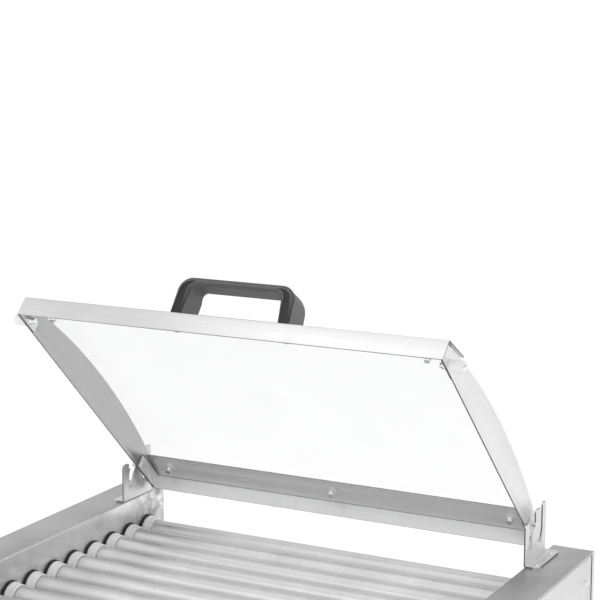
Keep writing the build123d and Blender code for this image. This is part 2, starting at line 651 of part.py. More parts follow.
def bracket_screws():
    """Low flat-headed screws that hold the brackets' feet down on the casings."""
    screws = []
    for y in BRACKET_SCREW_Y:
        head = rod_z(3.3, TOP_Z + BRACKET_SHEET, TOP_Z + BRACKET_SHEET + 0.8, WALL_X + 9, REAR_Y + y)
        head = fillet(head.edges().filter_by(GeomType.CIRCLE).sort_by(Axis.Z)[-1], 0.5)
        head += rod_z(2.0, TOP_Z, TOP_Z + BRACKET_SHEET, WALL_X + 9, REAR_Y + y)
        screws.append(head)
    return both_sides(group(screws))


left_and_right("lid_bracket", bracket())
parts["bracket_screws"] = bracket_screws()

# ---- lid, drawn flat along -Y from its rear corner and then turned up to its open angle -------------
OPEN_LID = Pos(0, REAR_Y + LID_CORNER[0], TOP_Z + LID_CORNER[1]) * Rot(-LID_ANGLE, 0, 0)
ARM_INNER = LID_HALF_WIDTH - ARM_SHEET
TAB_INNER = ARM_INNER - STEEL
ARC_CENTRE = GLASS_CROWN - GLASS_RADIUS


def arc_height(l, above=0.0):
    return ARC_CENTRE + sqrt((GLASS_RADIUS + above)**2 - (l - GLASS_CROWN_AT)**2)


def lid_part(name, shape):
    parts[name] = OPEN_LID * shape


def arc_between(l0, l1, above=0.0):
    """The glass's curve from l0 to l1, at a height above its underside."""
    middle = (l0 + l1) / 2
    return ThreePointArc((-l0, arc_height(l0, above)), (-middle, arc_height(middle, above)),
                         (-l1, arc_height(l1, above)))


FACE_INNER = LID_LENGTH - STEEL
REAR_BEND = (2.0, 15.6)
REAR_FLANGE_END = (33.2, 22.3)


def arm():
    """Side arm: straight lower edge, upper edge cut to the glass's curve."""
    curve = arc_between(REAR_BEND[0], FACE_INNER)
    rest = Polyline((-FACE_INNER, arc_height(FACE_INNER)), (-FACE_INNER, 0), (0, 0),
                    (-REAR_BEND[0], arc_height(REAR_BEND[0])))
    blank = across(make_face([curve, rest]), ARM_INNER, LID_HALF_WIDTH)
    for l, h in (PIVOT_PIN, LATCH_PIN, BUMPER_AT):
        blank -= rod_x(PIN_RADIUS, ARM_INNER - 1, LID_HALF_WIDTH + 1, -l, h)
    return blank


BUMPER_AT = (311.0, 5.5)
BUMPER_RADIUS = 5.75
BUMPER_LENGTH = 13.0
GLASS_ENDS = (4.0, 321.0)
CLAMP_X = 195.6
CLAMP_REAR = 20.0
CLAMP_FRONT = 309.0
HANDLE_X = 57.0
REAR_SLOPE = degrees(atan2(REAR_FLANGE_END[1] - REAR_BEND[1], REAR_FLANGE_END[0] - REAR_BEND[0]))
SCREW_RADIUS = 2.0


def normal_place(x, l, h, slope):
    """A place on the lid whose Z is square to a flange that rises backwards by slope."""
    return Pos(x, -l, h) * Rot(slope, 0, 0)


def flange_height(l):
    """Top face of the front bar's flange."""
    slope = sin(radians(FLANGE_SLOPE)) / cos(radians(FLANGE_SLOPE))
    return BAR_FACE + (LID_LENGTH - l) * slope


REAR_CLAMPS = [(x, CLAMP_REAR) for x in (-CLAMP_X, 0.0, CLAMP_X)]
FRONT_CLAMPS = [(x, CLAMP_FRONT) for x in (-CLAMP_X, CLAMP_X)]
HANDLE_BOLTS = [(x, CLAMP_FRONT) for x in (-HANDLE_X, HANDLE_X)]


def clamp_places():
    """Every screw through the glass: its place on the glass's underside and the slope there."""
    places = []
    for x, l in REAR_CLAMPS:
        places.append(normal_place(x, l, arc_height(l), -REAR_SLOPE))
    for x, l in FRONT_CLAMPS + HANDLE_BOLTS:
        places.append(normal_place(x, l, arc_height(l), FLANGE_SLOPE))
    return places


def drilled(shape, radius):
    for place in clamp_places():
        shape -= place * Cylinder(radius, 40)
    return shape


def front_bar():
    """Face and sloped top flange folded from one strip, with a tab along each arm's inner face."""
    end = LID_LENGTH - FLANGE_LENGTH * cos(radians(FLANGE_SLOPE))
    outline = [(-LID_LENGTH, 0), (-LID_LENGTH, BAR_FACE), (-end, flange_height(end))]
    bar = across(folded(outline[::-1], STEEL), -LID_HALF_WIDTH, LID_HALF_WIDTH)
    for side in (-1, 1):
        x0, x1 = sorted((side * TAB_INNER, side * ARM_INNER))
        tab = block(x0, x1, -FACE_INNER, -298, 0.5, 13)
        bar += tab - rod_x(PIN_RADIUS, x0 - 1, x1 + 1, -BUMPER_AT[0], BUMPER_AT[1])
    return drilled(bar, SCREW_RADIUS + 0.2)


def rear_bar():
    """Angle under the glass's rear edge, with a tab along each arm for the hinge pins."""
    outline = [(0.7, 0.2), (-REAR_BEND[0], REAR_BEND[1]), (-REAR_FLANGE_END[0], REAR_FLANGE_END[1])]
    bar = across(folded(outline, STEEL), -ARM_INNER, ARM_INNER)
    tab_profile = polygon([(-0.1, 0.4), (-46, 0.4), (-46, 13.4), (-2.6, 14.0)])
    for side in (-1, 1):
        x0, x1 = sorted((side * TAB_INNER, side * ARM_INNER))
        tab = across(tab_profile, x0, x1)
        for l, h in (PIVOT_PIN, LATCH_PIN):
            tab -= rod_x(PIN_RADIUS, x0 - 1, x1 + 1, -l, h)
        bar += tab
    return drilled(bar, SCREW_RADIUS + 0.2)


def glass():
    """Bent glass that lies on the arms' curved edges, drilled for its clamping screws."""
    l0, l1 = GLASS_ENDS
    lower = arc_between(l0, l1)
    upper = arc_between(l0, l1, GLASS_THICKNESS)
    ends = [Line((-l, arc_height(l)), (-l, arc_height(l, GLASS_THICKNESS))) for l in (l0, l1)]
    sheet = across(make_face([lower, upper, *ends]), -LID_HALF_WIDTH + 0.6, LID_HALF_WIDTH - 0.6)
    return drilled(sheet, SCREW_RADIUS + 0.6)


def acorn_nut():
    """Domed nut whose flat face is at z = 0 and whose dome points down."""
    flats = Pos(0, 0, -3) * extrude(RegularPolygon(4.2, 6), 3)
    dome = Pos(0, 0, -3) * Sphere(3.5) & Pos(0, 0, -7) * Box(12, 12, 8)
    return flats + dome - Pos(0, 0, -3.5) * extrude(Circle(SCREW_RADIUS), 4)


WASHER_RADIUS = 5.5
WASHER = 1.6


def clamp_screws():
    """Pan-head screws that clamp the glass: nylon washer and head above, shank into the nut below."""
    screws = []
    head_z = GLASS_THICKNESS + WASHER + 0.2
    for x, l in REAR_CLAMPS:
        screw = Pos(0, 0, head_z) * pan_head(3.6, 2.2)
        screw += Pos(0, 0, -NUT_DROP + 0.1) * extrude(Circle(SCREW_RADIUS), head_z + NUT_DROP - 0.1)
        screws.append(normal_place(x, l, arc_height(l), -REAR_SLOPE) * screw)
    for x, l in FRONT_CLAMPS:
        screw = Pos(0, 0, FRONT_HEAD_Z) * pan_head(3.6, 2.2)
        screw += Pos(0, 0, -WASHER - 0.1) * extrude(Circle(SCREW_RADIUS), FRONT_HEAD_Z + WASHER + 0.1)
        screws.append(normal_place(x, l, arc_height(l), FLANGE_SLOPE) * screw)
    return group(screws)


def pan_head(radius, height):
    head = extrude(Circle(radius), height)
    return fillet(head.edges().filter_by(GeomType.CIRCLE).sort_by(Axis.Z)[-1], height * 0.55)


def clamp_nuts():
    """Domed nuts inside the lid: three on the rear bar, two at the front and one on each stop."""
    nuts = []
    for x, l in REAR_CLAMPS:
        nuts.append(normal_place(x, l, arc_height(l), -REAR_SLOPE) * Pos(0, 0, -NUT_DROP) * acorn_nut())
    for x, l in FRONT_CLAMPS:
        nuts.append(normal_place(x, l, arc_height(l), FLANGE_SLOPE) * Pos(0, 0, -WASHER) * acorn_nut())
    for side in (-1, 1):
        nuts.append(Pos(side * TAB_INNER, -BUMPER_AT[0], BUMPER_AT[1]) * Rot(0, side * 90, 0) * acorn_nut())
    return group(nuts)


def washers():
    """Nylon washers on both faces of the glass's clamps."""
    rings = []
    ring = extrude(Circle(WASHER_RADIUS) - Circle(SCREW_RADIUS), WASHER - 0.1)
    for x, l in REAR_CLAMPS:
        place = normal_place(x, l, arc_height(l), -REAR_SLOPE)
        rings.append(place * Pos(0, 0, -NUT_DROP) * ring)
        rings.append(place * Pos(0, 0, GLASS_THICKNESS + 0.25) * ring)
    for x, l in FRONT_CLAMPS + HANDLE_BOLTS:
        place = normal_place(x, l, arc_height(l), FLANGE_SLOPE)
        rings.append(place * Pos(0, 0, -WASHER) * ring)
    return group(rings)


HANDLE_SPAN = 125.0
HANDLE_HEIGHT = 39.5
HANDLE_LEG = 12.0
HANDLE_BAR = 6.0
HANDLE_LEAN = 3.0
HANDLE_FRONT = 8.0
HANDLE_DEPTH = 22.0
HANDLE_BOLT_LENGTH = 20.0


def handle_place():
    """The flange's outer face: X along the bar, Y backwards up the flange, Z square to it."""
    return Pos(0, -LID_LENGTH, BAR_FACE) * Rot(FLANGE_SLOPE, 0, 0)


def handle():
    """Moulded bow handle with leaning legs and a wide flat grip."""
    half = HANDLE_SPAN / 2
    lean = HANDLE_LEAN
    outside = polygon([(-half, 0), (-half + lean, HANDLE_HEIGHT), (half - lean, HANDLE_HEIGHT), (half, 0)])
    outside = fillet(outside.vertices().group_by(Axis.Y)[-1], 14)
    leg = half - HANDLE_LEG
    inside = polygon([(-leg, -1), (-leg + lean, HANDLE_HEIGHT - HANDLE_BAR),
                      (leg - lean, HANDLE_HEIGHT - HANDLE_BAR), (leg, -1)])
    inside = fillet(inside.vertices().group_by(Axis.Y)[-1], 8)
    bow = extrude(Plane.XZ.offset(-HANDLE_FRONT) * (outside - inside), -HANDLE_DEPTH)
    rims = bow.edges().group_by(Axis.Y)
    bow = fillet([e for e in rims[0] + rims[-1] if e.center().Z > 0.5], 1.8)
    bow = handle_place() * bow
    for x, l in HANDLE_BOLTS:
        hole = extrude(Circle(SCREW_RADIUS), HANDLE_BOLT_LENGTH)
        bow -= normal_place(x, l, arc_height(l), FLANGE_SLOPE) * Pos(0, 0, -WASHER) * hole
    return bow


def handle_screws():
    """Screws up through glass and flange into the handle's legs, with flat heads below."""
    screws = []
    for x, l in HANDLE_BOLTS:
        screw = Pos(0, 0, -WASHER) * Rot(180, 0, 0) * pan_head(4.0, 1.6)
        screw += Pos(0, 0, -WASHER) * extrude(Circle(SCREW_RADIUS), HANDLE_BOLT_LENGTH)
        screws.append(normal_place(x, l, arc_height(l), FLANGE_SLOPE) * screw)
    return group(screws)


def bumpers():
    """Nylon stops on the arms' outer faces, which rest on the casings when the lid is shut."""
    l, h = BUMPER_AT
    stop = rod_x(BUMPER_RADIUS, LID_HALF_WIDTH, LID_HALF_WIDTH + BUMPER_LENGTH, -l, h)
    stop = fillet(stop.edges().filter_by(GeomType.CIRCLE).sort_by(Axis.X)[-1], 1.2)
    stop -= rod_x(PIN_RADIUS, LID_HALF_WIDTH - 1, LID_HALF_WIDTH + BUMPER_LENGTH + 1, -l, h)
    return both_sides(stop)


def bumper_screws():
    l, h = BUMPER_AT
    end = LID_HALF_WIDTH + BUMPER_LENGTH
    head = Pos(end, -l, h) * Rot(0, 90, 0) * pan_head(3.6, 2.2)
    return both_sides(head + rod_x(PIN_RADIUS, TAB_INNER - 3.0, end, -l, h))


def lid_pins(place):
    """Riveted pins that stand out of the arms into the brackets' slots."""
    l, h = place
    pin = rod_x(PIN_RADIUS, TAB_INNER, PIN_TIP, -l, h)
    pin = chamfer(pin.edges().filter_by(GeomType.CIRCLE).sort_by(Axis.X)[-1], 0.5)
    pin += Pos(TAB_INNER, -l, h) * Rot(0, -90, 0) * pan_head(3.4, 1.4)
    return both_sides(pin)


NUT_DROP = STEEL + WASHER + 0.5
FRONT_HEAD_Z = GLASS_THICKNESS + STEEL + 1.0
PIN_TIP = 230.0

lid_part("lid_arm_right", arm())
lid_part("lid_arm_left", mirror(arm(), about=Plane.YZ))
lid_part("lid_front_bar", front_bar())
lid_part("lid_rear_bar", rear_bar())
lid_part("lid_glass", glass())
lid_part("clamp_screws", clamp_screws())
lid_part("domed_nuts", clamp_nuts())
lid_part("clamp_washers", washers())
lid_part("lid_handle", handle())
lid_part("handle_screws", handle_screws())
lid_part("lid_stops", bumpers())
lid_part("lid_stop_screws", bumper_screws())
lid_part("lid_pivot_pins", lid_pins(PIVOT_PIN))
lid_part("lid_latch_pins", lid_pins(LATCH_PIN))

# ---- write ----------------------------------------------------------------------------------------
os.makedirs("parts", exist_ok=True)
for name, shape in parts.items():
    export_step(shape, f"parts/{name}.step")
print(len(parts), "nodes")
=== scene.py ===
"""The looks of a counter-top roller grill with nine heated tubes and a lift-up glass lid.

It is laid out as an add-on and run as a script.  The CAD frame gives every place; lengths are in
metres, +X to the operator's right, +Y to the back, +Z up.
"""

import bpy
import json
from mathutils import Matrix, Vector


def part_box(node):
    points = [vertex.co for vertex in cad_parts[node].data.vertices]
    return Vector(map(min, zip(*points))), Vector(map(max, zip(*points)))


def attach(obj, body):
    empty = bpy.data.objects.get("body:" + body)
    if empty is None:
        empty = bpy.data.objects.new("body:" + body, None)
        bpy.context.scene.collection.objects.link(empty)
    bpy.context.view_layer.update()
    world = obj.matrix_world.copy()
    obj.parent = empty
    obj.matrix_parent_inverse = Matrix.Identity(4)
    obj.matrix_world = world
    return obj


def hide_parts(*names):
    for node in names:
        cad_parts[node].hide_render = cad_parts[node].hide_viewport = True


bl_info = {
    "name": "Roller grill",
    "version": (1, 0, 0),
    "blender": (4, 5, 0),
    "location": "View3D > Sidebar > Roller grill",
    "description": "Finishes and fine pieces of a counter-top roller grill around its CAD frame",
    "category": "Object",
}

import json
from math import copysign, cos, pi, radians, sin

import bmesh
import bpy
from bpy.props import FloatProperty, FloatVectorProperty, PointerProperty
from mathutils import Vector

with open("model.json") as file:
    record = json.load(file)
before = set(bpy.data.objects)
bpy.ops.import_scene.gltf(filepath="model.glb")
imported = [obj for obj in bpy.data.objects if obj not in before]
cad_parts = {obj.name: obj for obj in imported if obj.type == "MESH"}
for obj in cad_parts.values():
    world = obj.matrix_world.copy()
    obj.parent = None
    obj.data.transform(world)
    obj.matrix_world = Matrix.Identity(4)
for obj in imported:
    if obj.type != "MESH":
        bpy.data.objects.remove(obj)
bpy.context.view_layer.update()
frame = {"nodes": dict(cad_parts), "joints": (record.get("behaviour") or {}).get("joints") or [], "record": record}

INNER_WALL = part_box("side_casing_right")[0].x
OUTER_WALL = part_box("side_casing_right")[1].x
REAR_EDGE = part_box("side_casing_right")[1].y

ROLLERS = 9
LID_ANGLE = radians(44.6)     # the lid's straight edges above level, while it stands open
COVER_GAP = 0.0005            # between a cover's end and its casing's flange in the CAD frame
SHEET = 0.0016                # a little more than the sheet's thickness, so cut edges are told from faces
LID_SHEET = 0.0019
GLASS = 0.0034


# ---- where the CAD frame puts things ---------------------------------------------------------------

def middle(node):
    low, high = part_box(node)
    return (Vector(low) + Vector(high)) / 2


def joint(name):
    return next(j for j in frame["joints"] if j["name"] == name)


def body_of(node):
    for body, nodes in frame["record"]["behaviour"]["bodies"].items():
        if node in nodes:
            return body
    raise RuntimeError(f"no body holds {node}")


def slot_of(node):
    return next(s["material_slot"] for s in frame["record"]["subparts"] if s["node"] == node)


# ---- sizes and colours that a user may change -------------------------------------------------------

def length(name, description, default):
    return FloatProperty(name=name, description=description, default=default, min=0.0, max=1.0,
                         unit="LENGTH", precision=4)


def colour(name, description, default):
    return FloatVectorProperty(name=name, description=description, default=default, size=3,
                               min=0.0, max=1.0, subtype="COLOR")


class GrillSizes(bpy.types.PropertyGroup):
    sheet_edge: length("Sheet edge", "Rounding left on the edges of cut sheet", 0.0003)
    seam: length("Seam", "Gap between a casing's flange and its cover", 0.0030)
    collar_nose: length("Collar nose", "Reach of a collar's nose along its tube", 0.0062)
    drop: length("Fastener drop", "How much lower screws and nuts hang at the front bar", 0.0030)
    glass_edge: length("Glass edge", "Rounding ground on the glass's edges", 0.0006)
    handle_slope: length("Handle slope", "Height of the handle's sloping back", 0.018)
    handle_forward: length("Handle forward", "How far the bow stands in front of its CAD solid", 0.002)
    handle_depth: FloatProperty(name="Handle depth", description="Depth of the bow against its CAD solid",
                                default=1.38, min=1.0, max=1.5)
    handle_taper: FloatProperty(name="Handle taper", description="Share of depth lost at the top",
                                default=0.42, min=0.0, max=0.8)
    handle_rim: length("Handle rim", "Radius along the rims of the handle's front", 0.0020)


class GrillColours(bpy.types.PropertyGroup):
    # The casings and lid are the same stainless; the casing's darker shade and the lid's paler one are partly
    # painted shade and painted light.
    casing: colour("Casing steel", "Brushed stainless sheet of the casings", (0.52, 0.52, 0.522))
    lid: colour("Lid steel", "Brushed stainless sheet of the lid", (0.79, 0.79, 0.792))
    tube: colour("Tubes", "Ground stainless tube", (0.80, 0.80, 0.80))
    plastic: colour("Moulded plastic", "Handle, knobs and switch bezels", (0.034, 0.034, 0.035))
    nylon: colour("Nylon", "Bushes, stops and washers", (0.92, 0.92, 0.912))
    rubber: colour("Rubber", "Feet and seal rings", (0.018, 0.018, 0.018))
    floor: colour("Floor", "Studio floor", (0.93, 0.93, 0.93))


# ---- node boards: one way to build shader trees -----------------------------------------------------

class Value:
    """A number socket: arithmetic on it adds Math nodes to its board."""

    def __init__(self, board, socket):
        self.board = board
        self.socket = socket

    def maths(self, operation, first, second):
        made = self.board.node("ShaderNodeMath", {"operation": operation}, {0: first, 1: second})
        return Value(self.board, made.outputs[0])

    def __add__(self, other):
        return self.maths("ADD", self, other)

    def __radd__(self, other):
        return self.maths("ADD", other, self)

    def __sub__(self, other):
        return self.maths("SUBTRACT", self, other)

    def __rsub__(self, other):
        return self.maths("SUBTRACT", other, self)

    def __mul__(self, other):
        return self.maths("MULTIPLY", self, other)

    def __rmul__(self, other):
        return self.maths("MULTIPLY", other, self)

    def __truediv__(self, other):
        return self.maths("DIVIDE", self, other)

    def __pow__(self, other):
        return self.maths("POWER", self, other)


class Board:
    """A node tree under construction: settings are set first, then values and links."""

    def __init__(self, tree):
        self.tree = tree

    def node(self, kind, settings=None, inputs=None):
        made = self.tree.nodes.new(kind)
        for key, value in (settings or {}).items():
            if key == "stops":
                self.set_stops(made.color_ramp, value)
            else:
                setattr(made, key, value)
        for key, value in (inputs or {}).items():
            self.feed(made.inputs[key], value)
        return made

    def feed(self, socket, value):
        if isinstance(value, Value):
            self.tree.links.new(value.socket, socket)
        elif isinstance(value, bpy.types.NodeSocket):
            self.tree.links.new(value, socket)
        else:
            socket.default_value = value

    @staticmethod
    def set_stops(ramp, stops):
        while len(ramp.elements) > len(stops):
            ramp.elements.remove(ramp.elements[-1])
        while len(ramp.elements) < len(stops):
            ramp.elements.new(1.0)
        for element, (position, shade) in zip(ramp.elements, stops):
            element.position = position
            element.color = shade


class Finish(Board):
    """A procedural material."""

    def __init__(self, name):
        self.material = bpy.data.materials.new(name)
        self.material.use_nodes = True
        super().__init__(self.material.node_tree)
        self.tree.nodes.clear()
        self.place = self.node("ShaderNodeTexCoord").outputs["Object"]

    def turned_place(self, scale, turn=(0.0, 0.0, 0.0)):
        """Object coordinates turned, then stretched, so that grain runs where scale is least."""
        turned = self.node("ShaderNodeMapping", {"vector_type": "POINT"},
                           {"Vector": self.place, "Rotation": turn}).outputs[0]
        return self.node("ShaderNodeMapping", {"vector_type": "POINT"},
                         {"Vector": turned, "Scale": scale}).outputs[0]

    def axis(self, name):
        split = self.node("ShaderNodeSeparateXYZ", {}, {"Vector": self.place})
        return Value(self, split.outputs[name])

    def noise(self, place, scale, detail=3.0, roughness=0.55, distortion=0.0):
        made = self.node("ShaderNodeTexNoise", {}, {"Vector": place, "Scale": scale, "Detail": detail,
                                                    "Roughness": roughness, "Distortion": distortion})
        return Value(self, made.outputs["Fac"])

    def spread(self, value, low, high):
        """0 at low, 1 at high, and straight between; low may be the larger."""
        made = self.node("ShaderNodeMapRange", {"clamp": True},
                         {"Value": value, "From Min": low, "From Max": high})
        return Value(self, made.outputs[0])

    def marked(self, name):
        """A number that the mesh stores on its faces or corners."""
        return Value(self, self.node("ShaderNodeAttribute", {"attribute_name": name}).outputs["Fac"])

    def over(self, mask, under, shade):
        """A plain shade laid over another, or over a colour socket, where the mask is 1."""
        below = (*under, 1.0) if isinstance(under, tuple) else under
        made = self.node("ShaderNodeMix", {"data_type": "RGBA"}, {0: mask, 6: below, 7: (*shade, 1.0)})
        return made.outputs[2]

    def bump(self, height, strength, distance=0.0001):
        made = self.node("ShaderNodeBump", {}, {"Height": height, "Strength": strength,
                                                "Distance": distance})
        return made.outputs[0]

    def surface(self, **sockets):
        inputs = {key.replace("_", " ").title(): value for key, value in sockets.items()}
        shader = self.node("ShaderNodeBsdfPrincipled", {}, inputs)
        self.node("ShaderNodeOutputMaterial", {}, {"Surface": shader.outputs[0]})
        return self.material


# ---- finishes --------------------------------------------------------------------------------------

def toned(shade, factor, most=1.0):
    """A shade made lighter or darker, up to a limit."""
    return tuple(min(most, c * factor) for c in shade)


def brushed_steel(name, shade, turn=(0.0, 0.0, 0.0), roughness=0.30, contrast=0.10, cloudy=0.3,
                  side_light_and_mottle=False, metallic=1.0):
    """Stainless sheet with fine grain along its turned X, cloudy patches, a few faint rubs,
    darker sheared edges and painted shade inside its folds."""
    f = Finish(name)
    grain = f.noise(f.turned_place((3.0, 420.0, 420.0), turn), 1.0, detail=5.0, roughness=0.75)
    hairs = f.noise(f.turned_place((14.0, 2600.0, 2600.0), turn), 1.0, detail=2.0)
    clouds = f.noise(f.place, 16.0, detail=4.0, distortion=0.4)
    fingers = f.spread(f.noise(f.place, 38.0, detail=5.0, distortion=0.8), 0.56, 0.72)
    cut = f.marked("cut")
    level = (0.6 - cloudy * 0.5) * grain + (0.4 - cloudy * 0.5) * hairs + cloudy * clouds
    face = f.over(f.spread(level, 0.38, 0.62), toned(shade, 1.0 - contrast),
                  toned(shade, 1.0 + contrast * 0.7))
    # painted light on the casings' inner walls and outer sides, and darker mottling to the rear
    if side_light_and_mottle:
        face = casing_sides(f, face, shade, clouds)
    # darker on cut edges, and painted shade inside folds, where the cut mark is 0.7
    return f.surface(base_color=f.over(f.spread(cut, 0.2, 0.8), face, toned(shade, 0.36)),
                     metallic=metallic,
                     roughness=roughness + 0.14 * (grain - 0.5) + 0.06 * clouds + 0.05 * fingers
                     + 0.12 * cut,
                     normal=f.bump(0.7 * grain + 0.3 * hairs, 0.10))


def casing_sides(f, face, shade, clouds):
    """A casing's inner wall and outer side painted paler as painted light, and darker mottled patches on the inner
    wall, most towards the rear.
    """
    x, y = f.axis("X"), f.axis("Y")
    inner = f.spread(x * x, (INNER_WALL + 0.0010) ** 2, (INNER_WALL + 0.0002) ** 2)
    outer = f.spread(x * x, (OUTER_WALL - 0.0012) ** 2, (OUTER_WALL - 0.0003) ** 2)
    rear_mottle = f.spread(f.noise(f.place, 55.0, detail=5.0, distortion=0.6), 0.30, 0.62)
    rear = f.spread(y + 0.03 * clouds, REAR_EDGE - 0.0785, REAR_EDGE - 0.0135)
    palest = 0.96
    # painted light: the inner wall paler in cloudy patches
    face = f.over(0.85 * inner * f.spread(clouds, 0.10, 0.50), face, toned(shade, 1.9, palest))
    # painted light: the outer side paler
    face = f.over(0.55 * outer, face, toned(shade, 1.7, palest))
    # darker mottled patches on the inner wall, most towards the rear
    return f.over(0.75 * inner * rear * rear_mottle + 0.10 * inner * rear_mottle, face, toned(shade, 0.42))


def ground_tube(name, shade):
    """Centreless-ground tube: fine rings round X, faint clouding, and a painted dark reflection in a band near
    each end.
    """
    f = Finish(name)
    rings = f.noise(f.turned_place((900.0, 12.0, 12.0)), 1.0, detail=3.0)
    bands = f.noise(f.turned_place((22.0, 5.0, 5.0)), 1.0, detail=3.0)
    clouds = f.noise(f.place, 12.0, detail=4.0, distortion=0.5)
    level = 0.35 * rings + 0.35 * bands + 0.30 * clouds
    face = f.over(f.spread(level, 0.38, 0.62), toned(shade, 0.91), toned(shade, 1.05))
    along = f.axis("X")
    # painted reflection: a dark band near each end of the tube, broken by clouds
    painted_reflection_band = f.spread(along * along, 0.11 ** 2, 0.175 ** 2)
    clear_of_wall = f.spread(along * along, 0.212 ** 2, 0.19 ** 2)
    face = f.over(0.7 * (painted_reflection_band * clear_of_wall) * f.spread(clouds, 0.25, 0.6), face, toned(shade, 0.62))
    return f.surface(base_color=face, metallic=1.0, roughness=0.27 + 0.10 * rings + 0.06 * clouds,
                     normal=f.bump(rings, 0.08))


def polished_steel(name, shade, roughness=0.14):
    """Smooth metal with faint clouds, for fasteners and what the casings hide."""
    f = Finish(name)
    clouds = f.noise(f.place, 160.0, detail=3.0)
    return f.surface(base_color=f.over(f.spread(clouds, 0.35, 0.65), toned(shade, 0.86), shade),
                     metallic=1.0, roughness=roughness + 0.10 * clouds, normal=f.bump(clouds, 0.05))


def moulded(name, shade, roughness=0.46, grain=0.22, scale=1500.0):
    """Moulded plastic or rubber with a fine spark-eroded texture."""
    f = Finish(name)
    pores = f.noise(f.place, scale, detail=2.0)
    clouds = f.noise(f.place, 40.0, detail=3.0)
    light = tuple(min(1.0, c * 1.25 + 0.004) for c in shade)
    patches = f.spread(0.5 * clouds + 0.5 * pores, 0.35, 0.65)
    return f.surface(base_color=f.over(patches, toned(shade, 0.88), light),
                     roughness=roughness + 0.10 * (clouds - 0.5) + 0.05 * pores,
                     normal=f.bump(pores, grain))


def worn_and_shaded_handle(name, shade):
    """Moulded handle: its front painted darker and smoother, partly as wear and partly as painted shade, its sides
    matt and painted paler as painted light.
    """
    f = Finish(name)
    front = f.marked("front")
    pores = f.noise(f.place, 1900.0, detail=2.0)
    clouds = f.noise(f.place, 40.0, detail=3.0)
    patches = f.spread(0.6 * clouds + 0.4 * pores, 0.35, 0.65)
    # painted light: the sides made several times paler than the plastic
    lit_matt_sides = f.over(patches, toned(shade, 3.5), toned(shade, 4.5))
    # the front darker and smoother: partly wear, partly painted shade
    return f.surface(base_color=f.over(front, lit_matt_sides, toned(shade, 0.22)),
                     roughness=0.50 - 0.16 * front + 0.08 * (clouds - 0.5),
                     normal=f.bump(pores, 0.25))


def clear_glass(name):
    """Clear bent glass: nearly nothing face on, more as the view grazes it, with a faint smear."""
    f = Finish(name)
    grazing = Value(f, f.node("ShaderNodeLayerWeight", {}, {"Blend": 0.35}).outputs["Facing"])
    cut = f.marked("cut")
    clear = (0.86, 0.90, 0.89)
    ground = (0.30, 0.36, 0.345)
    smear = f.spread(f.noise(f.place, 12.0, detail=4.0, distortion=0.6), 0.5, 0.75)
    f.material.surface_render_method = "DITHERED"
    # ground edges darker and more opaque; where a fold is marked, the same mark is painted shade
    return f.surface(base_color=f.over(cut, clear, ground), roughness=0.03 + 0.05 * smear + 0.3 * cut,
                     alpha=0.06 + 0.30 * grazing ** 3.0 + 0.02 * smear + 0.62 * cut)


def lens(name, shade):
    """Tinted clear plastic with small facets."""
    f = Finish(name)
    facets = f.noise(f.place, 700.0, detail=1.0)
    return f.surface(base_color=f.over(f.spread(facets, 0.4, 0.6), toned(shade, 0.6), shade),
                     roughness=0.16 + 0.05 * facets, coat_weight=0.6,
                     normal=f.bump(facets, 0.15, 0.0002))


def make_finishes():
    """Every finish by the CAD slot it stands for, and then those of single nodes."""
    colours = bpy.context.scene.grill_colours
    casing, lid, tube = tuple(colours.casing), tuple(colours.lid), tuple(colours.tube)
    plastic, nylon, rubber = tuple(colours.plastic), tuple(colours.nylon), tuple(colours.rubber)
    along_lid = (LID_ANGLE, 0.0, radians(90.0))
    along_depth = (0.0, 0.0, radians(90.0))
    return {
        "brushed_steel_casing": brushed_steel("steel_casing", casing, roughness=0.34, contrast=0.14),
        "brushed_steel_lid": brushed_steel("steel_lid", lid, roughness=0.33, contrast=0.06),
        "tray_steel": brushed_steel("steel_tray", casing, roughness=0.36, contrast=0.14),
        "tube_steel": ground_tube("steel_tube", tube),
        "bright_fasteners": polished_steel("steel_fasteners", (0.92, 0.92, 0.925), 0.20),
        "white_nylon": moulded("nylon_white", nylon, 0.42, 0.10, 900.0),
        "black_rubber": moulded("rubber_black", rubber, 0.62, 0.30, 1100.0),
        "black_plastic": moulded("plastic_black", plastic, 0.36, 0.30, 1900.0),
        "rocker_plastic": lens("rocker_green", (0.05, 0.30, 0.09)),
        "lamp_lens": lens("lamp_amber", (0.80, 0.22, 0.03)),
        "clear_glass": clear_glass("glass_clear"),
        "chain_steel": polished_steel("steel_chain", (0.30, 0.28, 0.26), 0.34),
        "motor_steel": polished_steel("steel_motor", (0.55, 0.55, 0.53), 0.38),
        "element_sheath": polished_steel("steel_element", (0.34, 0.29, 0.25), 0.42),
        "terminal_plastic": moulded("plastic_terminal", (0.72, 0.70, 0.64), 0.45, 0.12, 900.0),
        "steel_side": brushed_steel("steel_side", casing, along_depth, 0.34, 0.16, 0.5, side_light_and_mottle=True),
        # painted light: the rear bar gets a paler, less metallic copy of the lid steel
        "steel_rear": brushed_steel("steel_rear", toned(lid, 1.18, 0.95), roughness=0.46,
                                    contrast=0.05, metallic=0.80),
        "steel_bracket": brushed_steel("steel_bracket", toned(lid, 0.95), roughness=0.38,
                                       contrast=0.08, metallic=0.90),
        "steel_arm": brushed_steel("steel_arm", lid, along_lid, 0.32, 0.07),
        # painted shade: the left arm gets a darker copy of the lid steel than the right arm
        "steel_arm_left": brushed_steel("steel_arm_left", toned(lid, 0.66), along_lid, 0.32, 0.09),
        "plastic_handle": worn_and_shaded_handle("plastic_handle", plastic),
    }


finishes = {}

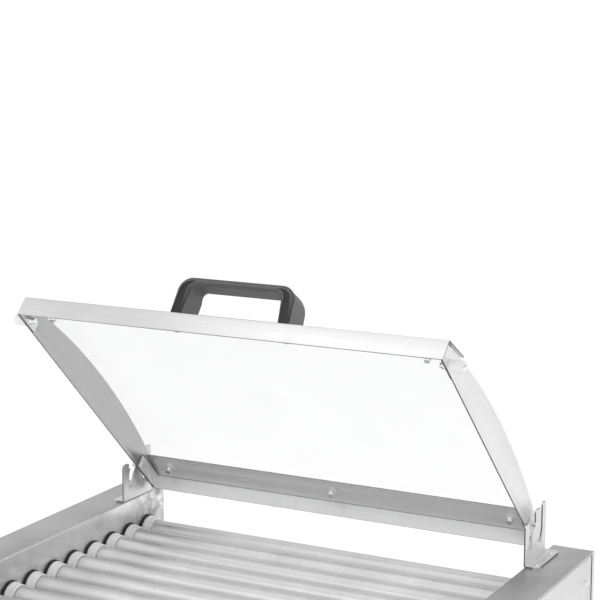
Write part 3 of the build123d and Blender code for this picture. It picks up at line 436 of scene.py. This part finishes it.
OWN_FINISH = {"lid_handle": "plastic_handle", "lid_rear_bar": "steel_rear",
              "lid_arm_left": "steel_arm_left", "lid_arm_right": "steel_arm",
              "lid_bracket_left": "steel_bracket", "lid_bracket_right": "steel_bracket",
              "side_casing_left": "steel_side", "side_casing_right": "steel_side",
              "side_cover_left": "steel_side", "side_cover_right": "steel_side"}


def finish_of(node):
    """The finish of a node's own, or else the one of its slot."""
    return finishes[OWN_FINISH.get(node) or slot_of(node)]


def linked(name, data):
    """A new object in the scene."""
    thing = bpy.data.objects.new(name, data)
    bpy.context.scene.collection.objects.link(thing)
    return thing


def painted(mesh, finish):
    """The mesh, with one finish all over."""
    mesh.materials.clear()
    mesh.materials.append(finish)
    return mesh


def place_piece(name, mesh, node):
    """Links a finished mesh as a piece that stands for a CAD node, on its body, with the node's finish, and hides
    the node.
    """
    piece = linked(name, painted(mesh, finish_of(node)))
    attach(piece, body_of(node))
    slot_of(node)
    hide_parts(node)


# ---- mesh tools ------------------------------------------------------------------------------------

MERGE = 0.000004


def cad_copy(node):
    """The CAD node's shape as an own bmesh, with its seams closed and its flat faces whole."""
    shape = bmesh.new()
    shape.from_mesh(frame["nodes"][node].data)
    for layer in list(shape.loops.layers.float_vector.values()):
        shape.loops.layers.float_vector.remove(layer)
    bmesh.ops.remove_doubles(shape, verts=shape.verts, dist=MERGE)
    bmesh.ops.dissolve_limit(shape, angle_limit=radians(0.4), verts=shape.verts, edges=shape.edges)
    bmesh.ops.recalc_face_normals(shape, faces=shape.faces)
    return shape


def plain_mesh(name, shape):
    """A mesh of the bmesh, which is freed, with no shading carried over from the CAD node."""
    mesh = bpy.data.meshes.new(name)
    shape.to_mesh(mesh)
    shape.free()
    for attribute in ("custom_normal", "sharp_face"):
        if attribute in mesh.attributes:
            mesh.attributes.remove(mesh.attributes[attribute])
    return mesh


def evaluated(name, mesh, kind, settings, inputs=None):
    """The plain mesh that one modifier makes of a mesh."""
    carrier = linked(name + "_carrier", mesh)
    modifier = carrier.modifiers.new(kind.lower(), kind)
    for key, value in settings.items():
        setattr(modifier, key, value)
    for identifier, value in (inputs or {}).items():
        modifier[identifier] = value
    bpy.context.view_layer.update()
    graph = bpy.context.evaluated_depsgraph_get()
    made = bpy.data.meshes.new_from_object(carrier.evaluated_get(graph), depsgraph=graph)
    made.name = name
    bpy.data.objects.remove(carrier)
    if not made.polygons:
        raise RuntimeError(f"{name} came out empty")
    return made


def smooth_by_angle(mesh, angle):
    """Smooth shading, but for edges that turn by more than the angle in degrees."""
    mesh.polygons.foreach_set("use_smooth", [True] * len(mesh.polygons))
    mesh.set_sharp_from_angle(angle=radians(angle))
    return mesh


def mark_cut_edges_and_fold_shade(shape, thickness):
    """Stores 1 on the narrow faces where a sheet was cut, 0.7 inside its folds as painted shade, and 0 elsewhere.
    """
    cut = shape.faces.layers.float.new("cut")
    long_enough = 1.2 * thickness
    for face in shape.faces:
        borders = [edge for edge in face.edges if edge.calc_length() > long_enough]
        longest = max(edge.calc_length() for edge in face.edges)
        narrow = bool(borders) and face.calc_area() / longest < thickness
        turns = [edge.calc_face_angle_signed(0.0) for edge in borders]
        if narrow and min(abs(turn) for turn in turns) > radians(50.0):
            face[cut] = 1.0
        # painted shade in the inner corner of a fold
        elif narrow and max(turns) < radians(-2.0):
            face[cut] = 0.7


def sheet_mesh(node, thickness=SHEET, rounding=None, reshape=None):
    """A CAD sheet with its cut edges marked, its folds marked for painted shade, and lightly rounded."""
    shape = cad_copy(node)
    if reshape:
        reshape(shape)
    mark_cut_edges_and_fold_shade(shape, thickness)
    mesh = plain_mesh(node + "_sheet", shape)
    width = rounding or bpy.context.scene.grill_sizes.sheet_edge
    made = evaluated(node + "_sheet", mesh, "BEVEL",
                     {"width": width, "segments": 2, "limit_method": "ANGLE",
                      "angle_limit": radians(42.0), "harden_normals": False})
    return smooth_by_angle(made, 38.0)


def place_sheets(nodes, thickness=SHEET):
    for node in nodes:
        place_piece(node + "_sheet", sheet_mesh(node, thickness), node)


def islands(node):
    """The separate solids of a CAD node, each as the list of its corners' places."""
    shape = bmesh.new()
    shape.from_mesh(frame["nodes"][node].data)
    bmesh.ops.remove_doubles(shape, verts=shape.verts, dist=MERGE)
    left = set(shape.verts)
    found = []
    while left:
        front = [left.pop()]
        places = []
        while front:
            corner = front.pop()
            places.append(corner.co.copy())
            for edge in corner.link_edges:
                other = edge.other_vert(corner)
                if other in left:
                    left.remove(other)
                    front.append(other)
        found.append(places)
    shape.free()
    return found


def spans(places, axis):
    """The highest point on a solid's middle line along an axis, and its length there."""
    axis = Vector(axis).normalized()
    side = axis.orthogonal().normalized()
    third = axis.cross(side)
    limits = []
    for direction in (axis, side, third):
        along = [p.dot(direction) for p in places]
        limits.append((min(along), max(along)))
    top = axis * limits[0][1]
    for direction, (low, high) in zip((side, third), limits[1:]):
        top += direction * (low + high) / 2
    return top, limits[0][1] - limits[0][0]


def lid_normal(slope):
    """The outward direction of a lid flange that rises backwards by slope, with the lid open."""
    turn = radians(slope) - LID_ANGLE
    return Vector((0.0, -sin(turn), cos(turn)))


REAR_FLANGE = lid_normal(-12.1)
FRONT_FLANGE = lid_normal(12.2)


def fastener_points(name, places):
    """A mesh of points for screws and nuts: each has its place, its aim and its length."""
    mesh = bpy.data.meshes.new(name + "_points")
    mesh.from_pydata([tuple(top) for top, aim, reach in places], [], [])
    aims = mesh.attributes.new("aim", "FLOAT_VECTOR", "POINT")
    aims.data.foreach_set("vector", [number for top, aim, reach in places for number in aim])
    reaches = mesh.attributes.new("reach", "FLOAT", "POINT")
    reaches.data.foreach_set("value", [reach for top, aim, reach in places])
    return mesh


# ---- geometry trees ---------------------------------------------------------------------------------

class Geometry(Board):
    """A geometry tree that works on points or makes a row, and ends in one plain mesh."""

    SOCKETS = {float: "NodeSocketFloat", int: "NodeSocketInt", Vector: "NodeSocketVector"}

    def __init__(self, name, **inputs):
        super().__init__(bpy.data.node_groups.new(name, "GeometryNodeTree"))
        face = self.tree.interface
        face.new_socket("Geometry", in_out="INPUT", socket_type="NodeSocketGeometry")
        self.values = inputs
        self.sockets = {}
        for label, value in inputs.items():
            made = face.new_socket(label, in_out="INPUT", socket_type=self.SOCKETS[type(value)])
            made.default_value = value
            self.sockets[label] = made.identifier
        material = face.new_socket("Material", in_out="INPUT", socket_type="NodeSocketMaterial")
        self.sockets["Material"] = material.identifier
        face.new_socket("Geometry", in_out="OUTPUT", socket_type="NodeSocketGeometry")
        self.entry = self.node("NodeGroupInput")

    def given(self, label):
        return Value(self, self.entry.outputs[label])

    def made(self, kind, settings=None, inputs=None):
        return self.node(kind, settings, inputs).outputs[0]

    def vector(self, x=0.0, y=0.0, z=0.0):
        return self.made("ShaderNodeCombineXYZ", {}, {0: x, 1: y, 2: z})

    def moved(self, geometry, translation=(0.0, 0.0, 0.0), rotation=(0.0, 0.0, 0.0)):
        return self.made("GeometryNodeTransform", {}, {"Geometry": geometry, "Translation": translation,
                                                       "Rotation": rotation})

    def joined(self, *parts):
        join = self.node("GeometryNodeJoinGeometry")
        for part in parts:
            self.tree.links.new(part, join.inputs[0])
        return join.outputs[0]

    def cylinder(self, sides, radius, depth):
        return self.made("GeometryNodeMeshCylinder", {},
                         {"Vertices": sides, "Radius": radius, "Depth": depth})

    def ball(self, radius, segments, rings):
        return self.made("GeometryNodeMeshUVSphere", {},
                         {"Segments": segments, "Rings": rings, "Radius": radius})

    def cube(self, x, y, z):
        return self.made("GeometryNodeMeshCube", {}, {"Size": self.vector(x, y, z)})

    def boolean(self, operation, first, second):
        node = self.node("GeometryNodeMeshBoolean", {"operation": operation})
        self.tree.links.new(first, node.inputs["Mesh 1" if operation == "DIFFERENCE" else "Mesh 2"])
        self.tree.links.new(second, node.inputs["Mesh 2"])
        return node.outputs["Mesh"]

    def named(self, name, kind="FLOAT"):
        """A number or vector that the points carry."""
        return Value(self, self.made("GeometryNodeInputNamedAttribute", {"data_type": kind}, {"Name": name}))

    def turned_to(self, axis, vector):
        return self.made("FunctionNodeAlignRotationToVector", {"axis": axis}, {"Vector": vector})

    def on_points(self, instance, rotation=None, scale=None, points=None):
        inputs = {"Points": points or self.entry.outputs["Geometry"], "Instance": instance}
        if rotation is not None:
            inputs["Rotation"] = rotation
        if scale is not None:
            inputs["Scale"] = scale
        return self.made("GeometryNodeInstanceOnPoints", {}, inputs)

    def finish(self, geometry):
        real = self.made("GeometryNodeRealizeInstances", {}, {"Geometry": geometry})
        painted = self.made("GeometryNodeSetMaterial", {}, {"Geometry": real,
                                                           "Material": self.entry.outputs["Material"]})
        exit_node = self.node("NodeGroupOutput")
        self.tree.links.new(painted, exit_node.inputs[0])
        return self

    def mesh(self, name, material, source=None, **values):
        """Runs the tree once on a source mesh with the named values."""
        source = source or fastener_points(name, [(Vector(), Vector((0.0, 0.0, 1.0)), 0.0)])
        inputs = {self.sockets["Material"]: material}
        for label, value in {**self.values, **values}.items():
            inputs[self.sockets[label]] = value
        made = evaluated(name, source, "NODES", {"node_group": self.tree}, inputs)
        return smooth_by_angle(made, 34.0)


def screw_tree():
    """Pan-head screws with a cross recess; each point is the top of a head."""
    g = Geometry("cross_head_screws", Head=0.0036, Height=0.0022, Shank=0.002, Recess=0.0009)
    head, height, recess = g.given("Head"), g.given("Height"), g.given("Recess")
    dome_radius = (head * head + height * height) / (2.0 * height)
    dome = g.moved(g.ball(dome_radius, 48, 32), g.vector(z=0.0 - dome_radius))
    stub = g.moved(g.cylinder(48, head, height), g.vector(z=height * -0.5))
    blank = g.boolean("INTERSECT", dome, stub)
    for turn in (0.0, pi / 2):
        bar = g.moved(g.cube(head * 1.15, recess, recess * 2.0), rotation=(0.0, 0.0, turn))
        blank = g.boolean("DIFFERENCE", blank, bar)
    rotation = g.turned_to("Z", g.named("aim", "FLOAT_VECTOR"))
    heads = g.on_points(blank, rotation)
    rod = g.moved(g.moved(g.cylinder(24, g.given("Shank"), 1.0), (0.0, 0.0, -0.5)), (0.0, 0.0, -0.001))
    rods = g.on_points(rod, rotation, g.vector(1.0, 1.0, g.named("reach") * 0.999))
    return g.finish(g.joined(heads, rods))


def nut_tree():
    """Domed nuts; each point is the tip of a dome and its aim leads out of the dome."""
    g = Geometry("domed_nuts", Across=0.0042, Flats=0.003, Dome=0.0035, Sleeve=0.0026)
    across, flats, dome = g.given("Across"), g.given("Flats"), g.given("Dome")
    seat = 0.0 - (dome + flats)
    hexagon = g.moved(g.cylinder(6, across, flats), g.vector(z=seat + flats * 0.5))
    cone = g.made("GeometryNodeMeshCone", {}, {"Vertices": 48, "Radius Top": across * 0.78,
                                               "Radius Bottom": across * 1.9, "Depth": flats * 2.6})
    crown = g.boolean("INTERSECT", hexagon, g.moved(cone, g.vector(z=seat - flats * 1.45)))
    cap = g.moved(g.ball(dome, 40, 24), g.vector(z=0.0 - dome))
    nut = g.boolean("UNION", crown, cap)
    rotation = g.turned_to("Z", g.named("aim", "FLOAT_VECTOR"))
    sleeve = g.moved(g.cylinder(32, g.given("Sleeve"), 1.0), (0.0, 0.0, -0.5))
    sleeves = g.on_points(sleeve, rotation, g.vector(1.0, 1.0, g.named("reach") - seat))
    return g.finish(g.joined(g.on_points(nut, rotation), sleeves))


def ring_row_tree():
    """A row of rings round X, one pitch apart along Y, each of a rounded rectangular section."""
    g = Geometry("ring_row", Count=ROLLERS, Pitch=0.035, First=Vector(), Inner=0.0125, Outer=0.016,
                 Width=0.0044, Rounding=0.0008)
    inner, outer = g.given("Inner"), g.given("Outer")
    circle = g.made("GeometryNodeCurvePrimitiveCircle", {},
                    {"Resolution": 72, "Radius": (inner + outer) * 0.5})
    section = g.made("GeometryNodeCurvePrimitiveQuadrilateral", {},
                     {"Width": outer - inner, "Height": g.given("Width")})
    section = g.made("GeometryNodeFilletCurve", {}, {"Curve": section, "Radius": g.given("Rounding")})
    section = g.made("GeometryNodeResampleCurve", {}, {"Curve": section, "Count": 28})
    ring = g.made("GeometryNodeCurveToMesh", {}, {"Curve": circle, "Profile Curve": section})
    ring = g.moved(ring, rotation=(0.0, pi / 2, 0.0))
    row = g.made("GeometryNodeMeshLine", {}, {"Count": g.given("Count"), "Start Location": g.given("First"),
                                              "Offset": g.vector(y=g.given("Pitch"))})
    return g.finish(g.on_points(ring, points=row))


def dial_tree():
    """A ring of short raised marks on the panel's face, with a gap where the dial is off."""
    g = Geometry("dial_marks", Count=11, Radius=0.0225, Long=0.0032, Wide=0.0007, Proud=0.00012,
                 Centre=Vector())
    arc = g.made("GeometryNodeCurveArc", {}, {"Resolution": g.given("Count"), "Radius": g.given("Radius"),
                                              "Start Angle": radians(-45.0), "Sweep Angle": radians(270.0)})
    points = g.made("GeometryNodeCurveToPoints", {"mode": "EVALUATED"}, {"Curve": arc})
    rotation = g.turned_to("X", g.made("GeometryNodeInputPosition"))
    mark = g.cube(g.given("Long"), g.given("Wide"), g.given("Proud"))
    marks = g.on_points(mark, rotation, points=points)
    real = g.made("GeometryNodeRealizeInstances", {}, {"Geometry": marks})
    return g.finish(g.moved(real, g.given("Centre"), (pi / 2, 0.0, 0.0)))


# ---- operators --------------------------------------------------------------------------------------

def cover_shortener(node, by):
    """A reshaping that draws in a side cover's ends, so that a dark seam shows at the casing's flanges."""
    low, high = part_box(node)
    outer = max(abs(low.x), abs(high.x))
    on_end, on_face = 0.0006, 0.0013

    def shorten(shape):
        for v in shape.verts:
            for end, inward in ((low.y, 1.0), (high.y, -1.0)):
                if abs(v.co.y - end) < on_end and abs(v.co.x) > outer - on_face:
                    v.co.y += by * inward
    return shorten


class GRILL_OT_casings(bpy.types.Operator):
    """Make the folded casings, covers, floor pan, rear panel and control panel"""
    bl_idname = "grill.casings"
    bl_label = "Casings and panels"

    def execute(self, context):
        for side in ("left", "right"):
            place_sheets(("side_casing_" + side,))
            cover = "side_cover_" + side
            shorten = cover_shortener(cover, context.scene.grill_sizes.seam - COVER_GAP)
            place_piece(cover + "_sheet", sheet_mesh(cover, reshape=shorten), cover)
        place_sheets(("base_pan", "rear_panel", "front_panel", "rod_bracket_left", "rod_bracket_right"))
        return {"FINISHED"}


class GRILL_OT_tray(bpy.types.Operator):
    """Make the drip tray and the rails it slides on"""
    bl_idname = "grill.tray"
    bl_label = "Tray"

    def execute(self, context):
        place_sheets(("drip_tray", "tray_runners"))
        return {"FINISHED"}


class GRILL_OT_lid_frame(bpy.types.Operator):
    """Make the lid's arms and bars and the brackets that carry it"""
    bl_idname = "grill.lid_frame"
    bl_label = "Lid frame"

    def execute(self, context):
        place_sheets(("lid_arm_left", "lid_arm_right", "lid_front_bar", "lid_rear_bar",
                      "lid_bracket_left", "lid_bracket_right"), LID_SHEET)
        return {"FINISHED"}


class GRILL_OT_glass(bpy.types.Operator):
    """Make the bent glass with its ground edges"""
    bl_idname = "grill.glass"
    bl_label = "Glass"

    def execute(self, context):
        mesh = sheet_mesh("lid_glass", GLASS, context.scene.grill_sizes.glass_edge)
        place_piece("bent_glass", mesh, "lid_glass")
        return {"FINISHED"}


def round_front_rims(shape, back, up, lowest, radius):
    """Rounds the borders of the handle's front face, but not across its feet."""
    shape.normal_update()
    front = {face for face in shape.faces if face.normal.dot(back) < -0.9}
    rim = [edge for edge in shape.edges
           if sum(face in front for face in edge.link_faces) == 1
           and max(v.co.dot(up) for v in edge.verts) > lowest + 0.0005]
    bmesh.ops.bevel(shape, geom=rim, offset=radius, segments=5, profile=0.5, affect="EDGES")


def slope_back(shape, back, up, sizes):
    """Deepens the handle, less and less towards its top, and brings it forward."""
    top = max(v.co.dot(up) for v in shape.verts)
    front = min(v.co.dot(back) for v in shape.verts)
    slope_from = top - sizes.handle_slope
    slices = 9
    for i in range(slices):
        level = slope_from + sizes.handle_slope * i / slices
        geometry = shape.verts[:] + shape.edges[:] + shape.faces[:]
        bmesh.ops.bisect_plane(shape, geom=geometry, plane_co=up * level, plane_no=up)
    for v in shape.verts:
        part = max(0.0, (v.co.dot(up) - slope_from) / sizes.handle_slope)
        behind = v.co.dot(back) - front
        deeper = behind * sizes.handle_depth * (1.0 - sizes.handle_taper * part ** 1.6)
        v.co += back * (deeper - behind - sizes.handle_forward)


def keep_under(shape, up, lowest, roof):
    """Shrinks a shape along up, from its lowest place, until no corner is above the roof."""
    thin = 0.001
    shrink = max((v.co.z - roof) / up.z / max(thin, v.co.dot(up) - lowest) for v in shape.verts)
    for v in shape.verts:
        v.co -= up * (v.co.dot(up) - lowest) * max(0.0, shrink)


class GRILL_OT_handle(bpy.types.Operator):
    """Make the moulded handle with its sloping back and soft rims"""
    bl_idname = "grill.handle"
    bl_label = "Handle"

    def execute(self, context):
        sizes = context.scene.grill_sizes
        up = FRONT_FLANGE
        back = Vector((1.0, 0.0, 0.0)).cross(up) * -1.0
        shape = cad_copy("lid_handle")
        lowest = min(v.co.dot(up) for v in shape.verts)
        round_front_rims(shape, back, up, lowest, sizes.handle_rim)
        slope_back(shape, back, up, sizes)
        shape.normal_update()
        keep_under(shape, up, lowest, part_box("lid_handle")[1].z - 0.0001)
        # front-facing share of each corner, which the handle's finish paints darker, partly as wear and partly as
        # painted shade
        front_shade = shape.verts.layers.float.new("front")
        for v in shape.verts:
            v[front_shade] = max(0.0, min(1.0, (-v.normal.dot(back) - 0.15) / 0.45))
        mesh = plain_mesh("handle_bow", shape)
        place_piece("handle_bow", smooth_by_angle(mesh, 50.0), "lid_handle")
        return {"FINISHED"}


def sideways(place):
    """The direction out of the machine's side nearest a place."""
    return Vector((copysign(1.0, place.x), 0.0, 0.0))


def flange_of(place):
    """The outward direction of the lid flange that a place is on."""
    return REAR_FLANGE if place.z < BETWEEN_BARS else FRONT_FLANGE


BETWEEN_BARS = 0.3            # a height between the lid's rear and front bars
LID_STOPS_FROM = 0.21         # lid nuts further out than this are the stops'
DROP_AT_HANDLE = 1.5          # how much more the handle's screws hang than the others

# each node's head radius and height, and the aim of a screw from the place of one of its corners
SCREWS = (
    ("cover_screws", 0.0036, 0.0016, sideways),
    ("bracket_screws", 0.0033, 0.0008, lambda place: Vector((0.0, 0.0, 1.0))),
    ("lid_stop_screws", 0.0036, 0.0022, sideways),
    ("handle_screws", 0.0040, 0.0016, lambda place: FRONT_FLANGE * -1.0),
    ("clamp_screws", 0.0036, 0.0022, flange_of),
)


class GRILL_OT_screws(bpy.types.Operator):
    """Make the cross-recess screws of the covers, brackets, lid stops, handle and glass"""
    bl_idname = "grill.screws"
    bl_label = "Screws"

    def execute(self, context):
        tree = screw_tree()
        drop = context.scene.grill_sizes.drop
        for node, head, height, aim_of in SCREWS:
            places = []
            for solid in islands(node):
                aim = aim_of(solid[0])
                top, reach = spans(solid, aim)
                if node == "handle_screws":
                    top += aim * drop * DROP_AT_HANDLE
                    reach += drop * DROP_AT_HANDLE
                elif node == "clamp_screws" and aim == FRONT_FLANGE:
                    reach += drop
                places.append((top, aim, reach))
            mesh = tree.mesh(node + "_cross", finish_of(node), fastener_points(node, places),
                             Head=head, Height=height, Recess=min(tree.values["Recess"], height * 0.5))
            place_piece(node + "_cross", mesh, node)
        return {"FINISHED"}


class GRILL_OT_nuts(bpy.types.Operator):
    """Make the domed nuts inside the lid"""
    bl_idname = "grill.nuts"
    bl_label = "Domed nuts"

    def execute(self, context):
        places = []
        for solid in islands("domed_nuts"):
            centre = sum(solid, Vector()) / len(solid)
            drop = 0.0
            if abs(centre.x) > LID_STOPS_FROM:
                aim = sideways(centre) * -1.0
            else:
                aim = flange_of(centre) * -1.0
                if centre.z > BETWEEN_BARS:
                    drop = context.scene.grill_sizes.drop
            top = spans(solid, aim)[0]
            places.append((top + aim * drop, aim, drop))
        mesh = nut_tree().mesh("domed_nuts_turned", finish_of("domed_nuts"),
                               fastener_points("domed_nuts", places))
        place_piece("domed_nuts_turned", mesh, "domed_nuts")
        return {"FINISHED"}


COLLAR_BORE = 0.01255
COLLAR_NOSE_RADIUS = 0.0146
COLLAR_RADIUS = 0.0160
SPIGOT_RADIUS = 0.0144
NOSE_OVERLAP = 0.0008         # of a collar's nose with its flange, along the tube
RING_BORE = 0.01445
RING_RADIUS = 0.0169


class GRILL_OT_collars(bpy.types.Operator):
    """Make the rows of white collars and black rings at the tubes' ends"""
    bl_idname = "grill.collars"
    bl_label = "Collars and rings"

    def execute(self, context):
        tree = ring_row_tree()
        nose = context.scene.grill_sizes.collar_nose
        first = middle("roller_1")
        pitch = (middle(f"roller_{ROLLERS}").y - first.y) / (ROLLERS - 1)
        for side, sign in (("left", -1.0), ("right", 1.0)):
            low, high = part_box("bushes_" + side)
            inside, outside = sorted((abs(low.x), abs(high.x)))
            seal_low, seal_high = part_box("seal_rings_" + side)
            seat, wall = sorted((abs(seal_low.x), abs(seal_high.x)))

            def row(name, node, x0, x1, inner, outer, rounding):
                place = Vector((sign * (x0 + x1) / 2, first.y, first.z))
                return tree.mesh(name, finish_of(node), Pitch=pitch, First=place, Inner=inner,
                                 Outer=outer, Width=x1 - x0, Rounding=rounding)

            collars = bmesh.new()
            for x0, x1, outer, rounding in (
                    (inside - nose, inside + NOSE_OVERLAP, COLLAR_NOSE_RADIUS, 0.0007),
                    (inside, seat, COLLAR_RADIUS, 0.0011),
                    (seat, outside, SPIGOT_RADIUS, 0.0003)):
                collars.from_mesh(row("collar_row", "bushes_" + side, x0, x1, COLLAR_BORE, outer, rounding))
            mesh = plain_mesh("collars_" + side, collars)
            place_piece("collars_" + side, smooth_by_angle(mesh, 34.0), "bushes_" + side)
            rings = row("lip_rings_" + side, "seal_rings_" + side, seat, wall, RING_BORE, RING_RADIUS, 0.0005)
            place_piece("lip_rings_" + side, rings, "seal_rings_" + side)
        return {"FINISHED"}


class GRILL_OT_dials(bpy.types.Operator):
    """Make the marks round the two knobs"""
    bl_idname = "grill.dials"
    bl_label = "Dial marks"

    def execute(self, context):
        tree = dial_tree()
        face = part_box("front_panel")[0].y
        for side, zone in (("left", "front"), ("right", "rear")):
            axis_z = joint(zone + "_zone_knob_turn")["pos_m"][2]
            centre = Vector((middle("knob_" + side).x, face, axis_z))
            marks = tree.mesh("dial_" + side, finishes["black_plastic"], Centre=centre)
            piece = linked("dial_" + side, painted(marks, finishes["black_plastic"]))
            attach(piece, "base")
        return {"FINISHED"}


class GRILL_OT_finishes(bpy.types.Operator):
    """Make every finish and lay it on the CAD nodes"""
    bl_idname = "grill.finishes"
    bl_label = "Finishes"

    def execute(self, context):
        finishes.update(make_finishes())
        for name, node in frame["nodes"].items():
            painted(node.data, finish_of(name))
        return {"FINISHED"}


FLOOR_REACH = 30.0
FLOOR_GLOW = 0.28


class GRILL_OT_stage(bpy.types.Operator):
    """Set the floor, the soft studio light and the camera"""
    bl_idname = "grill.stage"
    bl_label = "Stage"

    def execute(self, context):
        make_floor(context.scene)
        make_world(context.scene)
        make_lights()
        make_camera(context.scene)
        return {"FINISHED"}


def make_floor(scene):
    mesh = bpy.data.meshes.new("studio_floor")
    corners = [(x * FLOOR_REACH, y * FLOOR_REACH, 0.0) for x, y in ((-1, -1), (1, -1), (1, 1), (-1, 1))]
    mesh.from_pydata(corners, [], [(0, 1, 2, 3)])
    f = Finish("studio_floor")
    shade = tuple(scene.grill_colours.floor)
    paint = f.over(f.noise(f.place, 1.2, detail=2.0), toned(shade, 0.985), shade)
    mesh.materials.append(f.surface(base_color=paint, roughness=0.9, emission_color=paint,
                                    emission_strength=FLOOR_GLOW))
    linked("studio_floor", mesh)


# the air's grey at heights from the horizon, 0, to overhead, 1
AIR = ((0.0, 1.0), (0.10, 1.0), (0.26, 0.62), (0.62, 0.58), (0.86, 0.95), (1.0, 1.0))
AIR_STRENGTH = 1.06


def make_world(scene):
    """White air at the horizon and overhead, a little dimmer between, for soft steel gradients."""
    world = bpy.data.worlds.new("studio_air")
    scene.world = world
    world.use_nodes = True
    board = Board(world.node_tree)
    world.node_tree.nodes.clear()
    direction = board.node("ShaderNodeTexCoord").outputs["Generated"]
    height = board.node("ShaderNodeSeparateXYZ", {}, {"Vector": direction}).outputs["Z"]
    shades = [(place, (grey, grey, grey, 1.0)) for place, grey in AIR]
    ramp = board.node("ShaderNodeValToRGB", {"stops": shades}, {"Fac": height})
    back = board.node("ShaderNodeBackground", {}, {"Color": ramp.outputs["Color"], "Strength": AIR_STRENGTH})
    board.node("ShaderNodeOutputWorld", {}, {"Surface": back.outputs[0]})
    scene.view_settings.view_transform = "Standard"
    scene.view_settings.look = "None"


# name, place, width and height, watts
LIGHTS = (
    ("key_light", (-0.5, -1.5, 2.3), (1.8, 1.4), 5.0),
    ("left_light", (-2.2, -0.4, 1.3), (1.4, 1.4), 2.0),
    ("back_light", (0.3, 1.9, 2.4), (2.0, 1.2), 3.0),
)
LIT_PLACE = Vector((0.0, 0.0, 0.2))


def make_lights():
    for name, place, (wide, high), power in LIGHTS:
        data = bpy.data.lights.new(name, "AREA")
        data.shape = "RECTANGLE"
        data.size = wide
        data.size_y = high
        data.energy = power
        light = linked(name, data)
        light.location = place
        light.rotation_mode = "QUATERNION"
        light.rotation_quaternion = (LIT_PLACE - Vector(place)).to_track_quat("-Z", "Y")


CAMERA_PLACE = (0.80617, -1.42823, 0.75080)
CAMERA_TURN = 0.4863
CAMERA_DIP = 0.1637
CAMERA_LENS = 108.1
CAMERA_SHIFT = -0.0467


def make_camera(scene):
    data = bpy.data.cameras.new("studio_camera")
    data.lens = CAMERA_LENS
    data.sensor_width = 36.0
    data.shift_y = CAMERA_SHIFT
    data.clip_start = 0.05
    data.clip_end = 200.0
    camera = linked("studio_camera", data)
    camera.location = CAMERA_PLACE
    camera.rotation_euler = (pi / 2 - CAMERA_DIP, 0.0, CAMERA_TURN)
    scene.camera = camera


OPERATORS = (GRILL_OT_finishes, GRILL_OT_casings, GRILL_OT_tray, GRILL_OT_lid_frame, GRILL_OT_glass,
             GRILL_OT_handle, GRILL_OT_screws, GRILL_OT_nuts, GRILL_OT_collars, GRILL_OT_dials,
             GRILL_OT_stage)


class GRILL_PT_panel(bpy.types.Panel):
    """Roller grill tools"""
    bl_label = "Roller grill"
    bl_idname = "GRILL_PT_panel"
    bl_space_type = "VIEW_3D"
    bl_region_type = "UI"
    bl_category = "Roller grill"

    def draw(self, context):
        column = self.layout.column()
        for group in (context.scene.grill_sizes, context.scene.grill_colours):
            for name in group.__annotations__:
                column.prop(group, name)
        for operator in OPERATORS:
            column.operator(operator.bl_idname)


CLASSES = (GrillSizes, GrillColours, *OPERATORS, GRILL_PT_panel)


def register():
    for cls in CLASSES:
        bpy.utils.register_class(cls)
    bpy.types.Scene.grill_sizes = PointerProperty(type=GrillSizes)
    bpy.types.Scene.grill_colours = PointerProperty(type=GrillColours)


def unregister():
    del bpy.types.Scene.grill_colours
    del bpy.types.Scene.grill_sizes
    for cls in reversed(CLASSES):
        bpy.utils.unregister_class(cls)


def main():
    register()
    for operator in OPERATORS:
        group, name = operator.bl_idname.split(".")
        getattr(getattr(bpy.ops, group), name)()


if __name__ == "__main__":
    main()
